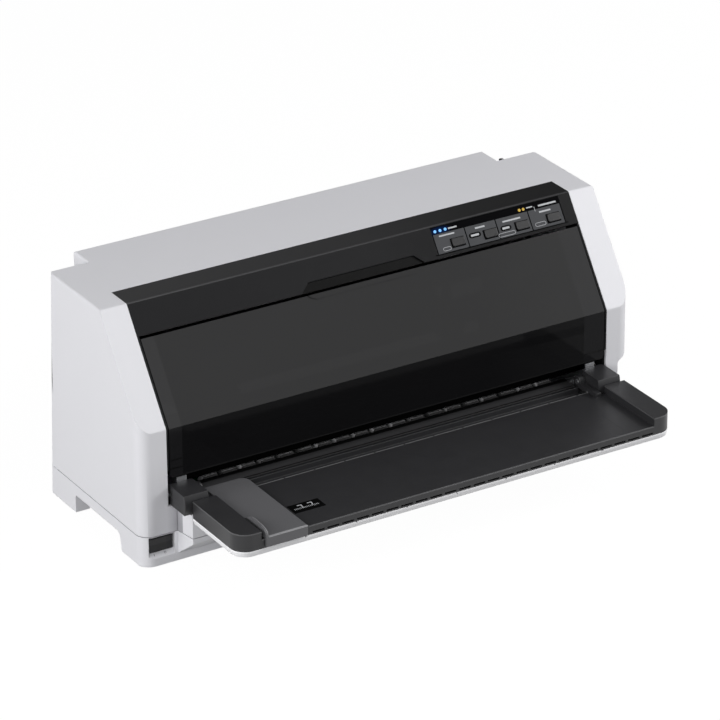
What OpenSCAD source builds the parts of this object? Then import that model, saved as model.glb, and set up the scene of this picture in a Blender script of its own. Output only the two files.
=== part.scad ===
// Flatbed dot matrix printer: a pale case with a smoked hinged cover and a paper table that folds up.
// X runs to the printer's right, Y to its rear and Z up. Each module is drawn in the machine's own
// frame, where Y = 0 is the front face of the pillars and Z = 0 is the table it stands on. machine()
// then moves everything so that the origin is under the middle of the whole outline.

/* [Case] */
// Width of the case
body_w = 480; // [460:1:520]
// Height of the case
body_h = 210; // [200:1:225]
// Depth of the flat shoulders, from the front face to the rear edge of the top
shoulder_y = 151.5; // [150:0.5:160]
// Lean of the rear wall, which is deeper at the bottom, in degrees
rear_lean = 4; // [3:0.1:5]
// Height of the fold between the upright front and the slope
fold_z = 122; // [118:1:126]
// Depth of the slope in plan
slope_y = 61.5; // [58:0.5:66]
// Thickness of the case walls
wall = 2.5; // [2:0.1:3]
// Radius of the upright corners
corner_r = 12; // [8:0.5:14]
// Radius of the upright corners at the rear
rear_corner_r = 7; // [5:0.5:10]
// Radius along the top edges
edge_r = 2; // [1:0.5:3]
// Height of the line where the upper and lower case meet
part_z = 27.4; // [26:0.1:30]
// Height of the groove along that line
groove_h = 0.6; // [0.4:0.1:1]
// Height of the underside of the floor above the table
floor_z = 17.5; // [15:0.5:19]
// Height of the feet pads
pad_h = 1; // [0.8:0.1:2]
// Depth of the front foot beam
front_foot_y = 37; // [30:1:42]
// Front face of the rear feet
rear_foot_y = 118; // [112:1:124]
// Width of each rear foot
rear_foot_w = 13; // [11:1:18]

/* [Front opening] */
// Width of the pillars beside the cover
pillar_w = 24.8; // [23:0.1:28]
// Width of the pillars beside the chin
low_pillar_w = 32.7; // [31:0.1:34]
// Height where the opening narrows
low_open_z = 52; // [50:0.5:53]
// Rear edge of the black trim on the top
trim_y = 87.6; // [80:0.1:95]
// Distance that the trim runs down the slope
trim_v = 28.4; // [26:0.1:32]
// Width of the groove between the trim and the cover's upper edge
top_gap = 2.6; // [1:0.1:3]
// Thickness of the trim and of the cover
skin = 2.5; // [2:0.1:3]
// Half width of the finger recess at its mouth
finger_x = 59.5; // [45:0.5:65]
// Depth of the finger recess up the slope
finger_v = 8.2; // [6:0.1:10]

/* [Rear hood] */
// Distance of the hood's left end from the side of the case
hood_in0 = 37; // [34:0.5:45]
// Distance of the hood's right end from the side of the case
hood_in1 = 39; // [37:0.5:50]
// Depth of the hood behind the shoulders
hood_d = 25; // [18.5:0.5:33.5]
// Height of the hood's rear face
hood_h = 45; // [35:1:50]

/* [Chin] */
// Distance of the chin's ends from the sides of the case
chin_in = 36; // [35:0.5:40]
// Distance that the chin stands forward
chin_y = 20; // [17:0.5:21]
// Lower edge of the chin's front face
chin_z = 22.6; // [21:0.1:25]
// Height of the chin's top
chin_top = 50; // [49:0.1:50.5]

/* [Smoked cover] */
// Gap between the cover's sides and the trim
cover_gap = 0.8; // [0.5:0.1:1.2]
// Height of the cover's lower edge
cover_z = 77; // [75.5:0.1:79]
// Depth of the cover's side flanges
flange = 14; // [13:0.5:15]
// Height of the cover's pivot
cover_pin_z = 84; // [83.5:0.1:86]
// Depth of the cover's pivot behind the front face
cover_pin_y = 7; // [6.5:0.1:7.5]
// Radius of the cover's pivot pins
cover_pin_r = 2; // [1.5:0.1:2.5]
// Radius of the cover's lower corners
cover_corner_r = 3; // [2:0.5:7]

/* [Paper table] */
// Distance of the table's left side from the side of the case
table_in0 = 33.5; // [32:0.5:34]
// Distance of the table's right side from the side of the case
table_in1 = 23.2; // [20:0.1:25]
// Reach of the table in front of the case
table_y = 100; // [90:1:115]
// Height of the paper on the table
paper_z = 58; // [57.5:0.1:58.5]
// Height of the top of the arms
arm_z = 65.5; // [64:0.1:66.5]
// Width of the left arm
arm_w0 = 21.5; // [21.5:0.1:23]
// Width of the right arm
arm_w1 = 20.3; // [19:0.1:22]
// Height where the dark upper table meets the pale shell
seam_z = 50; // [49.5:0.1:51]
// Height of the underside of the pale shell
shell_z = 45; // [44:0.5:47]
// Radius of the table's front corners
table_r = 14; // [10:0.5:16]
// Height of the table's pivot
table_pin_z = 61.75; // [61.5:0.05:62.5]
// Radius of the table's pivot pins
table_pin_r = 2.5; // [2:0.1:3]
// Reach of the hinge blocks in front of the pivot
block_y = 25; // [23:0.5:26]
// Width of each hinge block
block_w = 22; // [20:0.5:23]
// Number of drain slots along the table's front
slot_count = 24; // [12:1:24]

/* [Edge guide] */
// Distance of the parked guide from the table's left side
guide_in = 24.5; // [23.5:0.5:28.5]
// Width of the guide
guide_w = 38.5; // [30:0.5:45]
// Thickness of the guide
guide_t = 2.3; // [2:0.1:3]
// Height of the curved finger wall above the guide
guide_lip = 7; // [4:0.5:8]

/* [Control panel] */
// Width of the panel
panel_w = 129.3; // [124:0.1:135]
// Distance of the panel's right side from the side of the case
panel_in = 36.5; // [35:0.1:42]
// Upper edge of the panel, down the slope
panel_v0 = 1.4; // [1.2:0.1:2]
// Lower edge of the panel, down the slope
panel_v1 = 25; // [24:0.1:25.5]
// Width of a button
button_w = 12.4; // [10:0.1:14]
// Height of a button
button_h = 6.9; // [5:0.1:8]
// Travel of a button
button_travel = 1; // [0.6:0.1:1.2]

/* [Paper drive] */
// Distance of the front feed roller behind the front face
front_roller_y = 22; // [21.5:0.1:22.5]
// Radius of the feed rollers
roller_r = 8; // [7:0.1:8]
// Radius of the roller shafts
shaft_r = 4; // [3.5:0.1:4]
// Distance of the rows of rubber sleeves from the side frames
roller_in = 29; // [27:1:43]
// Radius of the feed knob
knob_r = 12.5; // [10:0.5:13]
// Radial clearance of a turning or sliding fit
run_fit = 0.06; // [0.04:0.01:0.08]
// Radial clearance of a fixed fit
fixed_fit = 0.02; // [0.01:0.01:0.03]

/* [Print carriage] */
// Radius of the carriage shaft
rail_r = 6; // [5:0.1:6.5]
// Distance of the carriage shaft behind the front face
rail_y = 95; // [94:0.5:96]
// Height of the carriage shaft
rail_z = 100; // [99:0.5:101]
// Width of the carriage
carriage_w = 56; // [50:1:60]
// Distance of the parked carriage's centre from the side of the case
carriage_in = 110; // [108:1:120]
// Radius of the belt pulleys
pulley_r = 7; // [6.5:0.1:7.5]

/* [Rear] */
// Length of the rear paper guide
rear_guide_l = 130; // [110:1:140]
// Lean of the raised rear paper guide above the level, in degrees
rear_guide_a = 50; // [48:1:52]
// Distance of the rear paper guide from the sides of the case
rear_guide_in = 90; // [75:1:110]
// Distance of a parked tractor's centre from the side of the case
tractor_in = 75; // [72:1:80]
// Width of a tractor
tractor_w = 20; // [18:1:22]

/* [Hidden] */
$fn = 64;

eps = 0.01;
touch = 0.2;                                     // gap between flat faces that slide on each other
big = 600;
half_w = body_w / 2;
floor_top = floor_z + wall;
slope_rise = body_h - fold_z;
slope_angle = atan2(slope_rise, slope_y);

// Places across the machine, all taken from the sides of the case
open_x = half_w - pillar_w;
low_open_x = half_w - low_pillar_w;
chin_x = half_w - chin_in;
chin_back_x = low_open_x - 0.3;
hood_x0 = -half_w + hood_in0;
hood_x1 = half_w - hood_in1;
hood_y = shoulder_y + hood_d;
hood_z = body_h - hood_h;
panel_x1 = half_w - panel_in;
panel_x0 = panel_x1 - panel_w;
table_x0 = -half_w + table_in0;
table_x1 = half_w - table_in1;
guide_x0 = table_x0 + guide_in;
guide_x1 = guide_x0 + guide_w;
frame_in = 37;                                   // to the inner faces of the steel side frames
frame_x = half_w - frame_in;
frame_t = 2;
roller_x = frame_x - roller_in;
carriage_x = -half_w + carriage_in;
rear_guide_x = half_w - rear_guide_in;
tractor_x = half_w - tractor_in;

// Case outline in the Y-Z plane, counter-clockwise from the front foot
low_z = -40;
function rear_y(z) = shoulder_y + (body_h - z) * tan(rear_lean);
case_side = [[0, low_z], [rear_y(low_z), low_z], [shoulder_y, body_h], [slope_y, body_h], [0, fold_z]];
case_side_r = [0, 0, edge_r, edge_r, edge_r];

// Knob recess in the right side
recess_x = half_w - 12.5;
recess_z = 69;
recess_y = 112;
recess_r = 6;

// Trim and cover
cheek = 1.6;
cheek_x = open_x - 0.2;
cover_x = cheek_x - cheek - cover_gap;
cover_v = trim_v + top_gap;
cheek_depth = 24;
cheek_step = 2.8;                                // how far the cheeks step back below the cover's pivot
ear_w = 7;                                       // width of the cover's pivot ears
sweep_r = norm([cover_pin_y, cover_pin_z - cover_z]) + 0.5;

// Paper table
block_x = open_x - 2;
block_in = block_x - block_w;
lug_gap = 0.5;
lug_w = 5.4;
lug_out = block_in - lug_gap;
lug_in = lug_out - lug_w;
lug_r = 5;
beam_x = lug_in - 0.9;
table_back = block_y + 0.5;
table_tail = 16;
table_t = 2.5;
lip_h = paper_z - seam_z;
frame_front = 3;
block_z0 = 53;
block_z1 = 70.5;

// Edge guide
guide_z0 = paper_z + touch;
guide_z1 = guide_z0 + guide_t;
guide_back = 1;
skirt_t = 2.2;
skirt_front = table_y + touch + skirt_t;
skirt_z = 51.5;

// Paper drive: the gears stand in one line at the height of the roller axes
gear_m = 1;                                      // pitch diameter divided by the teeth
knob_teeth = 56;
roller_teeth = 32;
idler_teeth = 36;
pinion_teeth = 16;
roller_z = paper_z + 0.2 - roller_r;
knob_y = front_roller_y + gear_m * (knob_teeth + roller_teeth) / 2;
rear_roller_y = knob_y + gear_m * (knob_teeth + roller_teeth) / 2;
idler_y = rear_roller_y + gear_m * (roller_teeth + idler_teeth) / 2;
tractor_y = idler_y + gear_m * (idler_teeth + roller_teeth) / 2;
pinion_angle = 6 * 360 / knob_teeth;
pinion_y = knob_y + gear_m * (knob_teeth + pinion_teeth) / 2 * cos(pinion_angle);
pinion_z = roller_z + gear_m * (knob_teeth + pinion_teeth) / 2 * sin(pinion_angle);
gear_x = frame_x + frame_t + 1.5;
gear_w = 5;
idler_pin_r = 3;
guide_bar_y = tractor_y + 22;
guide_bar_r = 3.5;
tail_y = guide_bar_y + 8;

// Rear guide
rear_pin_y = shoulder_y + 9.5;
rear_pin_z = 66;
guide_sheet = 2.5;
rear_tip_y = rear_pin_y + rear_guide_l * cos(rear_guide_a) + guide_sheet / 2 * sin(rear_guide_a);

// Print head's pins and platen
head_pin_y = 70;

// The origin is under the middle of the outline
origin_y = (rear_tip_y - skirt_front) / 2;

// ---------- helpers ----------

module machine() translate([0, -origin_y, 0]) children();

// Y-Z profile carried along X, and X-Z profile carried along Y
module along_x(x0, x1) translate([x0, 0, 0]) rotate([90, 0, 90]) linear_extrude(x1 - x0) children();
module along_y(y0, y1) translate([0, y1, 0]) rotate([90, 0, 0]) linear_extrude(y1 - y0) children();
module block(x, y, z) translate([x[0], y[0], z[0]]) cube([x[1] - x[0], y[1] - y[0], z[1] - z[0]]);
module rod_x(x0, x1, y, z, r) translate([x0, y, z]) rotate([0, 90, 0]) cylinder(h = x1 - x0, r = r);
module mirrored() { children(); mirror([1, 0, 0]) children(); }

// Frame on the slope: X stays, Y runs up the slope, Z stands out of it
module on_slope() translate([0, slope_y, body_h]) rotate([slope_angle, 0, 0]) children();
module on_slope_box(x, v, w) on_slope() block(x, [-v[1], -v[0]], w);

function unit(a) = a / norm(a);
// Points of the arc that rounds corner b between a and c
function arc(a, b, c, r, n = 5) =
    r == 0 ? [b] :
    let (u = unit(a - b), v = unit(c - b), half = acos(u * v) / 2, m = b + unit(u + v) * r / sin(half),
         p = b + u * r / tan(half) - m, q = b + v * r / tan(half) - m,
         a0 = atan2(p.y, p.x), turn = (atan2(q.y, q.x) - a0 + 540) % 360 - 180)
    [for (k = [0 : n]) m + r * [cos(a0 + turn * k / n), sin(a0 + turn * k / n)]];
function rounded(pts, r) =
    [for (i = [0 : len(pts) - 1]) each arc(pts[(i + len(pts) - 1) % len(pts)], pts[i],
                                         pts[(i + 1) % len(pts)], r[i])];
// A convex counter-clockwise outline with every side moved in by d
function inset(pts, d) =
    [for (i = [0 : len(pts) - 1])
        let (a = pts[(i + len(pts) - 1) % len(pts)], b = pts[i], c = pts[(i + 1) % len(pts)],
             u = unit(b - a), v = unit(c - b), m = [-u.y, u.x], n = [-v.y, v.x])
        b + (m + n) * d / (1 + m * n)];

module round_rect(x, y, r) {
    block2(x, [y[0] + r, y[1] - r]);
    block2([x[0] + r, x[1] - r], y);
    for (px = [x[0] + r, x[1] - r], py = [y[0] + r, y[1] - r]) translate([px, py]) circle(r);
}
module block2(x, y) translate([x[0], y[0]]) square([x[1] - x[0], y[1] - y[0]]);

// ---------- case ----------

// The whole outer form of the case, or of its inside when the walls are moved in by g
module case_form(g = 0) {
    side = g == 0 ? case_side : inset(case_side, g);
    r = max(corner_r - g, 1);
    rear_r = max(rear_corner_r - g, 1);
    intersection() {
        along_x(-half_w + g, half_w - g) polygon(rounded(side, g == 0 ? case_side_r : [0, 0, 0, 0, 0]));
        translate([0, 0, low_z]) linear_extrude(big) round_rect([-half_w + g, half_w - g], [g, big], r);
        translate([0, shoulder_y, body_h]) rotate([rear_lean, 0, 0]) translate([0, 0, -big / 2])
            linear_extrude(big) round_rect([-half_w + g, half_w - g], [-big, -g], rear_r);
        along_y(-1, big) polygon(rounded([[-half_w + g, low_z], [half_w - g, low_z],
            [half_w - g, body_h - g], [-half_w + g, body_h - g]], [0, 0, edge_r, edge_r]));
    }
}
module slab(z0, z1) block([-big, big], [-big, big], [z0, z1]);

// Recess for the feed knob, open to the right and to the front; g thickens it for its wall
module knob_recess(g = 0) {
    x = recess_x - g;
    z = recess_z + g;
    along_y(-1, recess_y + g)
        polygon(concat([[half_w + 20, low_z], [x, low_z]],
            arc([x, low_z], [x, z + recess_r - 4], [half_w, z + recess_r - 1], 4),
            arc([x, z + recess_r - 4], [half_w, z + recess_r], [half_w, z + 40], 4),
            [[half_w + eps, z + 20], [half_w + 20, z + 20]]));
}
// The rear hood, or its inside when g is the wall thickness; the inside is open at the bottom
module hood(g) {
    x = [hood_x0 + g, hood_x1 - g];
    y = [shoulder_y - 15, hood_y - g];
    z = [g > 0 ? hood_z - 1 : hood_z, body_h - g];
    r = g > 0 ? 0 : edge_r;
    intersection() {
        along_x(x[0], x[1]) polygon(rounded([[y[0], z[0]], [y[1], z[0]], [y[1], z[1]], [y[0], z[1]]], [0, 0, r, 0]));
        along_y(y[0], y[1]) polygon(rounded([[x[0], z[0]], [x[1], z[0]], [x[1], z[1]], [x[0], z[1]]], [0, 0, r, r]));
    }
}

module front_opening() {
    along_x(-open_x, open_x) polygon([[-5, low_open_z], [30, low_open_z], [30, 100],
        [trim_y, body_h - 30], [trim_y, body_h + 5], [-5, body_h + 5]]);
    block([-low_open_x, low_open_x], [-5, 30], [part_z - 1, low_open_z + 1]);
}

groove_d = 0.8;                                  // depth of the groove where the two cases meet
rear_slot_x = frame_x - 13;
rear_slot_z = [43, 100];
rear_pin_r = 2;
tail_slot_x = [frame_x - 1.5, gear_x + gear_w + 1.5];
tail_slot_z = [roller_z - idler_teeth / 2 - 2.5, roller_z + idler_teeth / 2 + 2.5];
lever_x = [frame_x + frame_t + 4, frame_x + frame_t + 7.5];
lever_slot_x = [lever_x[0] - 1.5, lever_x[1] + 2];
lever_slot_z = [body_h - 62, body_h - 4];
inlet_x = [-half_w + 6, -half_w + 32];
inlet_z = [34, 56];
port_x = [[30, 42], [60, 130]];
port_z = [29.6, 41];
port_rim = 1.6;

module upper_case() color("gainsboro") machine() {
    difference() {
        union() {
            difference() {
                case_form();
                knob_recess();
            }
            hood(0);
        }
        difference() {
            case_form(wall);
            difference() {
                knob_recess(wall);
                slab(low_z, floor_z);
            }
        }
        slab(low_z - 1, part_z);
        difference() {
            slab(part_z - 1, part_z + groove_h);
            case_form(groove_d);
        }
        hood(wall);
        front_opening();
        block([-rear_slot_x, rear_slot_x], [shoulder_y - 8, hood_y], rear_slot_z);
        block(tail_slot_x, [shoulder_y - 8, hood_y - 5], tail_slot_z);
        block([-frame_x - frame_t - 1.5, -frame_x + 1.5], [shoulder_y - 8, hood_y - 5], tail_slot_z);
        block(lever_slot_x, [shoulder_y - 8, hood_y], lever_slot_z);
        block([inlet_x[0] + 3, inlet_x[1] - 3], [shoulder_y - 8, hood_y], [inlet_z[0] + 3, inlet_z[1] - 3]);
        for (p = port_x) block([p[0] - 0.2, p[1] + 0.2], [shoulder_y - 8, hood_y], [port_z[0] - 0.2, port_z[1] + 0.2]);
        rod_x(recess_x - 5, half_w, knob_y, roller_z, shaft_r + 0.6);
    }
    mirrored() rear_guide_ears();
}

// Ears on the rear wall that carry the rear paper guide
ear_x = rear_guide_x + 1;
module rear_guide_ears() difference() {
    along_x(ear_x, ear_x + 6) polygon([[rear_y(108) - 1.5, 102], [rear_y(104) - 1.5, 116],
        [rear_pin_y, 112], [rear_pin_y + 6, rear_pin_z], [rear_pin_y, rear_pin_z - 6],
        [rear_pin_y - 4, rear_pin_z]]);
    rod_x(ear_x - 1, ear_x + 7, rear_pin_y, rear_pin_z, rear_pin_r + run_fit);
}

// Chin: the pale nose under the paper mouth
chin_side = [[0, 7.1], [-chin_y, chin_z], [-chin_y, chin_top], [12, chin_top], [12, chin_top - wall],
             [-chin_y + wall, chin_top - wall], [-chin_y + wall, chin_z + 1.2], [0, 10.2]];
module chin() difference() {
    intersection() {
        union() {
            along_x(-chin_back_x, chin_back_x) polygon(chin_side);
            mirrored() along_x(chin_x - wall, chin_back_x)
                polygon([[0, 7.1], [-chin_y, chin_z], [-chin_y, chin_top], [0, chin_top]]);
            mirrored() block([chin_x - wall, chin_back_x], [0, frame_front - 0.3], [part_z - 2, chin_top]);
        }
        linear_extrude(big) chin_outline(0);
    }
    translate([0, 0, part_z]) linear_extrude(groove_h) difference() {
        block2([-big, big], [-big, 0]);
        chin_outline(groove_d);
    }
}
// Plan of the chin, whose sides spread towards the case, moved in by g
module chin_outline(g) {
    side = [[chin_x - g, g - chin_y], [chin_back_x - g, 0], [chin_back_x - g, 13]];
    polygon(concat(side, [for (i = [2 : -1 : 0]) [-side[i].x, side[i].y]]));
}

switch_x = [-half_w + 6.4, -half_w + 29.8];
switch_z = [7.5, 27];
switch_depth = 16;
switch_ledge = 12.6;
rocker_x = [switch_x[0] + 0.4, switch_x[1] - 1.8];
rocker_y = 8;
rocker_z = 19.5;
rocker_pin_r = 1.5;
module switch_well() along_x(switch_x[0], switch_x[1]) polygon([[-1, switch_z[0] - 1], [0, switch_z[0]],
    [4.5, switch_ledge], [switch_depth, switch_ledge], [switch_depth, switch_z[1]], [-1, switch_z[1]]]);
foot_x = half_w - 15;
foot_lip_z = 0.3;                                // underside of the lip along the front foot
foot_hollow_x = half_w - 50;
screw_r = 2;
screw_head_r = 3.6;
screw_x = half_w - 45;
screw_y = [30, 135];
screw_at = [for (y = screw_y) for (x = [-screw_x, 0, screw_x]) [x, y]];

module lower_case() color("gainsboro") machine() {
    difference() {
        union() {
            difference() {
                intersection() { case_form(); slab(floor_z, part_z); }
                intersection() { case_form(wall); slab(floor_top, part_z + 1); }
            }
            intersection() {
                case_form();
                along_x(-half_w, half_w) polygon(concat([[-1, foot_lip_z], [corner_r - 2, foot_lip_z]],
                    [[corner_r - 2, pad_h], [front_foot_y, pad_h]],
                    arc([front_foot_y, pad_h], [front_foot_y + 3, floor_z], [front_foot_y + 30, floor_z], 6),
                    [[front_foot_y + 16, floor_z + eps], [-1, floor_z + eps]]));
            }
            mirrored() intersection() {
                case_form();
                along_x(half_w - rear_foot_w, half_w) polygon(concat(
                    [[rear_foot_y, pad_h], [rear_y(pad_h) - 2, pad_h], [rear_y(15), 15], [rear_y(15), floor_z + eps]],
                    arc([rear_foot_y - 20, floor_z], [rear_foot_y, floor_z], [rear_foot_y, pad_h], 3)));
            }
            chin();
            intersection() {
                case_form();
                block([-half_w, switch_x[1] + wall], [0, switch_depth + wall], [floor_z, part_z]);
            }
        }
        block([-foot_hollow_x, foot_hollow_x], [wall, front_foot_y - wall], [0, floor_z]);
        block([-chin_x + wall, chin_x - wall], [-1, wall + 1], [10.2, part_z + 5]);
        switch_well();
        mirrored() block([frame_x - 0.1, chin_back_x + 1], [frame_front - 0.1, 13], [chin_top - wall - 1, chin_top + 1]);
        rod_x(switch_x[0] - 1.4, switch_x[1] + 1.4, rocker_y, rocker_z, rocker_pin_r + run_fit);
        for (p = screw_at) translate([p[0], p[1], 0]) cylinder(h = big / 10, r = screw_r + fixed_fit);
        for (p = screw_at) if (p[1] < front_foot_y) translate([p[0], p[1], -1]) cylinder(h = floor_z + 1, r = screw_head_r + 0.9);
    }
}

module rubber_feet() color("dimgray") machine() {
    mirrored() {
        translate([foot_x, front_foot_y / 2, 0]) cylinder(h = pad_h, r = 6);
        translate([half_w - rear_foot_w / 2, rear_foot_y + 18, 0]) cylinder(h = pad_h, r = 5);
    }
}

module case_screws() color("silver") machine() {
    for (p = screw_at) translate([p[0], p[1], 0]) {
        translate([0, 0, floor_z - 2]) cylinder(h = 2, r = screw_head_r);
        translate([0, 0, floor_z]) cylinder(h = wall + 4, r = screw_r);
    }
}

// ---------- power switch ----------

module power_rocker() color("black") machine() {
    along_x(rocker_x[0], rocker_x[1]) polygon([[0.6, 13.3], [1.8, rocker_z], [1.2, 25.3], [6, 24.6], [10, 22], [10, 17],
        [6, 14.4]]);
    rod_x(switch_x[0] - 1.2, switch_x[1] + 1.2, rocker_y, rocker_z, rocker_pin_r);
}

// ---------- black trim, panel and buttons ----------

module finger_recess() on_slope()
    translate([0, 0, -skin + 0.9]) linear_extrude(10) polygon([[-finger_x, -trim_v - 1], [finger_x, -trim_v - 1],
        [finger_x, -trim_v + 0.6], [finger_x - finger_v, -trim_v + finger_v],
        [-finger_x + finger_v, -trim_v + finger_v], [-finger_x, -trim_v + 0.6]]);

module top_trim() color([0.13, 0.13, 0.14]) machine() {
    difference() {
        union() {
            along_x(-cheek_x, cheek_x) polygon(concat(
                arc([trim_y, body_h], [slope_y, body_h], [0, fold_z], edge_r),
                slope_points([trim_v, 0], [trim_v, -skin]),
                [[slope_y - 1.2, body_h - skin], [trim_y - 0.1, body_h - skin], [trim_y - 0.1, body_h]]));
            mirrored() along_x(cheek_x - cheek, cheek_x) polygon(concat(
                [[cheek_step, low_open_z + 0.5], [cheek_step, cover_pin_z - 2], [0.3, cover_pin_z + 1]],
                [[0.3, fold_z], [slope_y, body_h - 0.5], [trim_y - 0.2, body_h - 0.5]],
                [[trim_y - 0.2, body_h - cheek_depth], [slope_y + 6, body_h - cheek_depth]],
                [[cheek_depth, fold_z - 10], [cheek_depth, low_open_z + 0.5]]));
        }
        finger_recess();
        on_slope_box([panel_x0 - 0.1, panel_x1 + 0.1], [panel_v0 - 0.1, panel_v1 + 0.1], [-9, 2]);
        rod_x(-open_x, open_x, cover_pin_y, cover_pin_z, cover_pin_r + fixed_fit);
        mirrored() rod_x(cheek_x - 5, open_x, front_roller_y, roller_z, roller_teeth / 2 + 2);
    }
}
// Points given down the slope (v) and out of it (w), as Y-Z
function slope_point(v, w) = [slope_y - v * cos(slope_angle) - w * sin(slope_angle),
                              body_h - v * sin(slope_angle) + w * cos(slope_angle)];
function slope_points(a, b) = [slope_point(a[0], a[1]), slope_point(b[0], b[1])];

button_x = [for (x = [22.3, 55.1, 86.9, 118.9]) panel_x0 + x];
button_v = 18.2;
plate_t = skin + 2;
button_gap = 0.25;
board_w = -8.1;

module button_outline(g) translate([0, -button_v]) round_rect([-button_w / 2 - g, button_w / 2 + g],
    [-button_h / 2 - g, button_h / 2 + g], 1.6 + g);

light_x = [for (x = [3.7, 8.8, 13.9, 88.6, 92.6]) panel_x0 + x];
light_v = 5.3;
light_r = 1.3;

module panel_plate() color([0.25, 0.25, 0.26]) machine() on_slope() difference() {
    union() {
        block([panel_x0, panel_x1], [-panel_v1, -panel_v0], [-plate_t, 0]);
        block([panel_x0 - 2.5, panel_x1 + 2.5], [-panel_v1 - 2, -panel_v0 - 1], [-plate_t, -skin]);
        for (x = [panel_x0 + 4, (button_x[1] + button_x[2]) / 2, panel_x1 - 3])
            translate([x, -panel_v1 + 1, board_w]) cylinder(h = -plate_t - board_w, r = 2);
    }
    for (x = button_x) translate([x, 0, -plate_t - 1]) linear_extrude(plate_t + 2) button_outline(button_gap);
    for (x = light_x) translate([x, -light_v, -plate_t - 1]) cylinder(h = plate_t + 2, r = light_r + fixed_fit);
}

module panel_lights() color("deepskyblue") machine() on_slope()
    for (x = light_x) translate([x, -light_v, board_w]) cylinder(h = 0.2 - board_w, r = light_r);

module panel_board() color("darkgreen") machine() on_slope()
    block([panel_x0 - 2, panel_x1 + 2], [-panel_v1 - 1, -panel_v0 - 1], [board_w - board_t, board_w]);

module button(i) color([0.08, 0.08, 0.09]) machine() on_slope() translate([button_x[i], 0, 0]) {
    translate([0, 0, -plate_t - 0.1]) linear_extrude(plate_t + 0.1 + 1.1) button_outline(0);
    translate([0, 0, -plate_t - 1.1]) linear_extrude(1) button_outline(1.2);
    translate([0, -button_v, board_w + button_travel + 0.1])
        cylinder(h = -plate_t - 1 - board_w - button_travel, r = 1.5);
}
module button_1() button(0);
module button_2() button(1);
module button_3() button(2);
module button_4() button(3);

// ---------- smoked cover ----------

// Y-Z outline of the cover's band, or of its flanges when it is deeper
module cover_side(depth) {
    k = depth / cos((90 - slope_angle) / 2);
    bend = tan((90 - slope_angle) / 2);
    polygon(concat([[0, cover_z]], arc([0, cover_z], [0, fold_z], [slope_y, body_h], edge_r),
        slope_points([cover_v, 0], [cover_v, -depth]), [[depth, fold_z - depth * bend], [depth, cover_z]]));
}
module front_cover() color([0.2, 0.2, 0.21, 0.8]) machine() difference() {
    union() {
        along_x(-cover_x, cover_x) cover_side(skin);
        mirrored() along_x(cover_x - skin, cover_x) cover_side(flange);
        mirrored() rod_x(cover_x - ear_w, cover_x, cover_pin_y, cover_pin_z, 4.5);
        on_slope() translate([0, 0, -skin]) linear_extrude(skin + 1) polygon([
            [-finger_x + 4, -cover_v], [-finger_x + 7, -cover_v - 3], [-finger_x + 11, -cover_v - 4.4],
            [finger_x - 11, -cover_v - 4.4], [finger_x - 7, -cover_v - 3], [finger_x - 4, -cover_v]]);
    }
    mirrored() difference() {
        block([cover_x - cover_corner_r, cover_x + 1], [-1, flange + 1], [cover_z - 1, cover_z + cover_corner_r]);
        cover_corner();
    }
    rod_x(-cover_x - 1, cover_x + 1, cover_pin_y, cover_pin_z, cover_pin_r + run_fit);
}
// Round lower corners of the cover
module cover_corner() translate([cover_x - cover_corner_r, -2, cover_z + cover_corner_r]) rotate([-90, 0, 0])
    cylinder(h = flange + 4, r = cover_corner_r);

module cover_pins() color("silver") machine()
    mirrored() rod_x(cover_x - ear_w, open_x - 0.2, cover_pin_y, cover_pin_z, cover_pin_r);

// ---------- paper mouth and table ----------

mouth_lip_y = front_roller_y - 4;                                // rear edge of the guide's lip over the rollers
module front_paper_guide() color([0.12, 0.12, 0.13]) machine() along_x(-beam_x, beam_x) polygon([
    [-table_tail + 0.5, chin_top], [12, chin_top], [12, paper_z - 2.5], [mouth_lip_y - 2, paper_z - 1.7],
    [mouth_lip_y, paper_z - 0.5], [1.3, paper_z - 0.5], [1.3, paper_z - 4.5],
    [-2.2, paper_z - 4.5], [-2.2, paper_z - 0.5], [-3.4, paper_z - 0.5], [-3.4, paper_z - 5.5],
    [-table_tail + 0.5, paper_z - 5.5]]);

module hinge_blocks() color([0.14, 0.14, 0.15]) machine() mirrored() difference() {
    intersection() {
        translate([0, 0, block_z0]) linear_extrude(block_z1 - block_z0)
            round_rect([block_in, block_x], [-block_y - 5, frame_front], 3);
        rod_x(block_in, block_x, 0, table_pin_z, block_y);
    }
    rod_x(block_in - 1, block_x + 1, 0, table_pin_z, table_pin_r + fixed_fit);
}

module table_pins() color("silver") machine() mirrored()
    rod_x(lug_in - 0.3, block_x - 1, 0, table_pin_z, table_pin_r);

module table_outline(g = 0) {
    x = [table_x0 + g, table_x1 - g];
    y = [-table_y + g, -table_back - g];
    r = table_r - g;
    block2([x[0] + r, x[1] - r], y);
    block2(x, [y[0] + r, y[1]]);
    for (px = [x[0] + r, x[1] - r]) translate([px, y[0] + r]) circle(r);
}

module table_lug() difference() {
    union() {
        rod_x(lug_in, lug_out, 0, table_pin_z, lug_r);
        block([lug_in, lug_out], [-table_back - 4, 0], [table_pin_z - lug_r, table_pin_z]);
    }
    rod_x(lug_in - 1, lug_out + 1, 0, table_pin_z, table_pin_r + run_fit);
}

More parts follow.
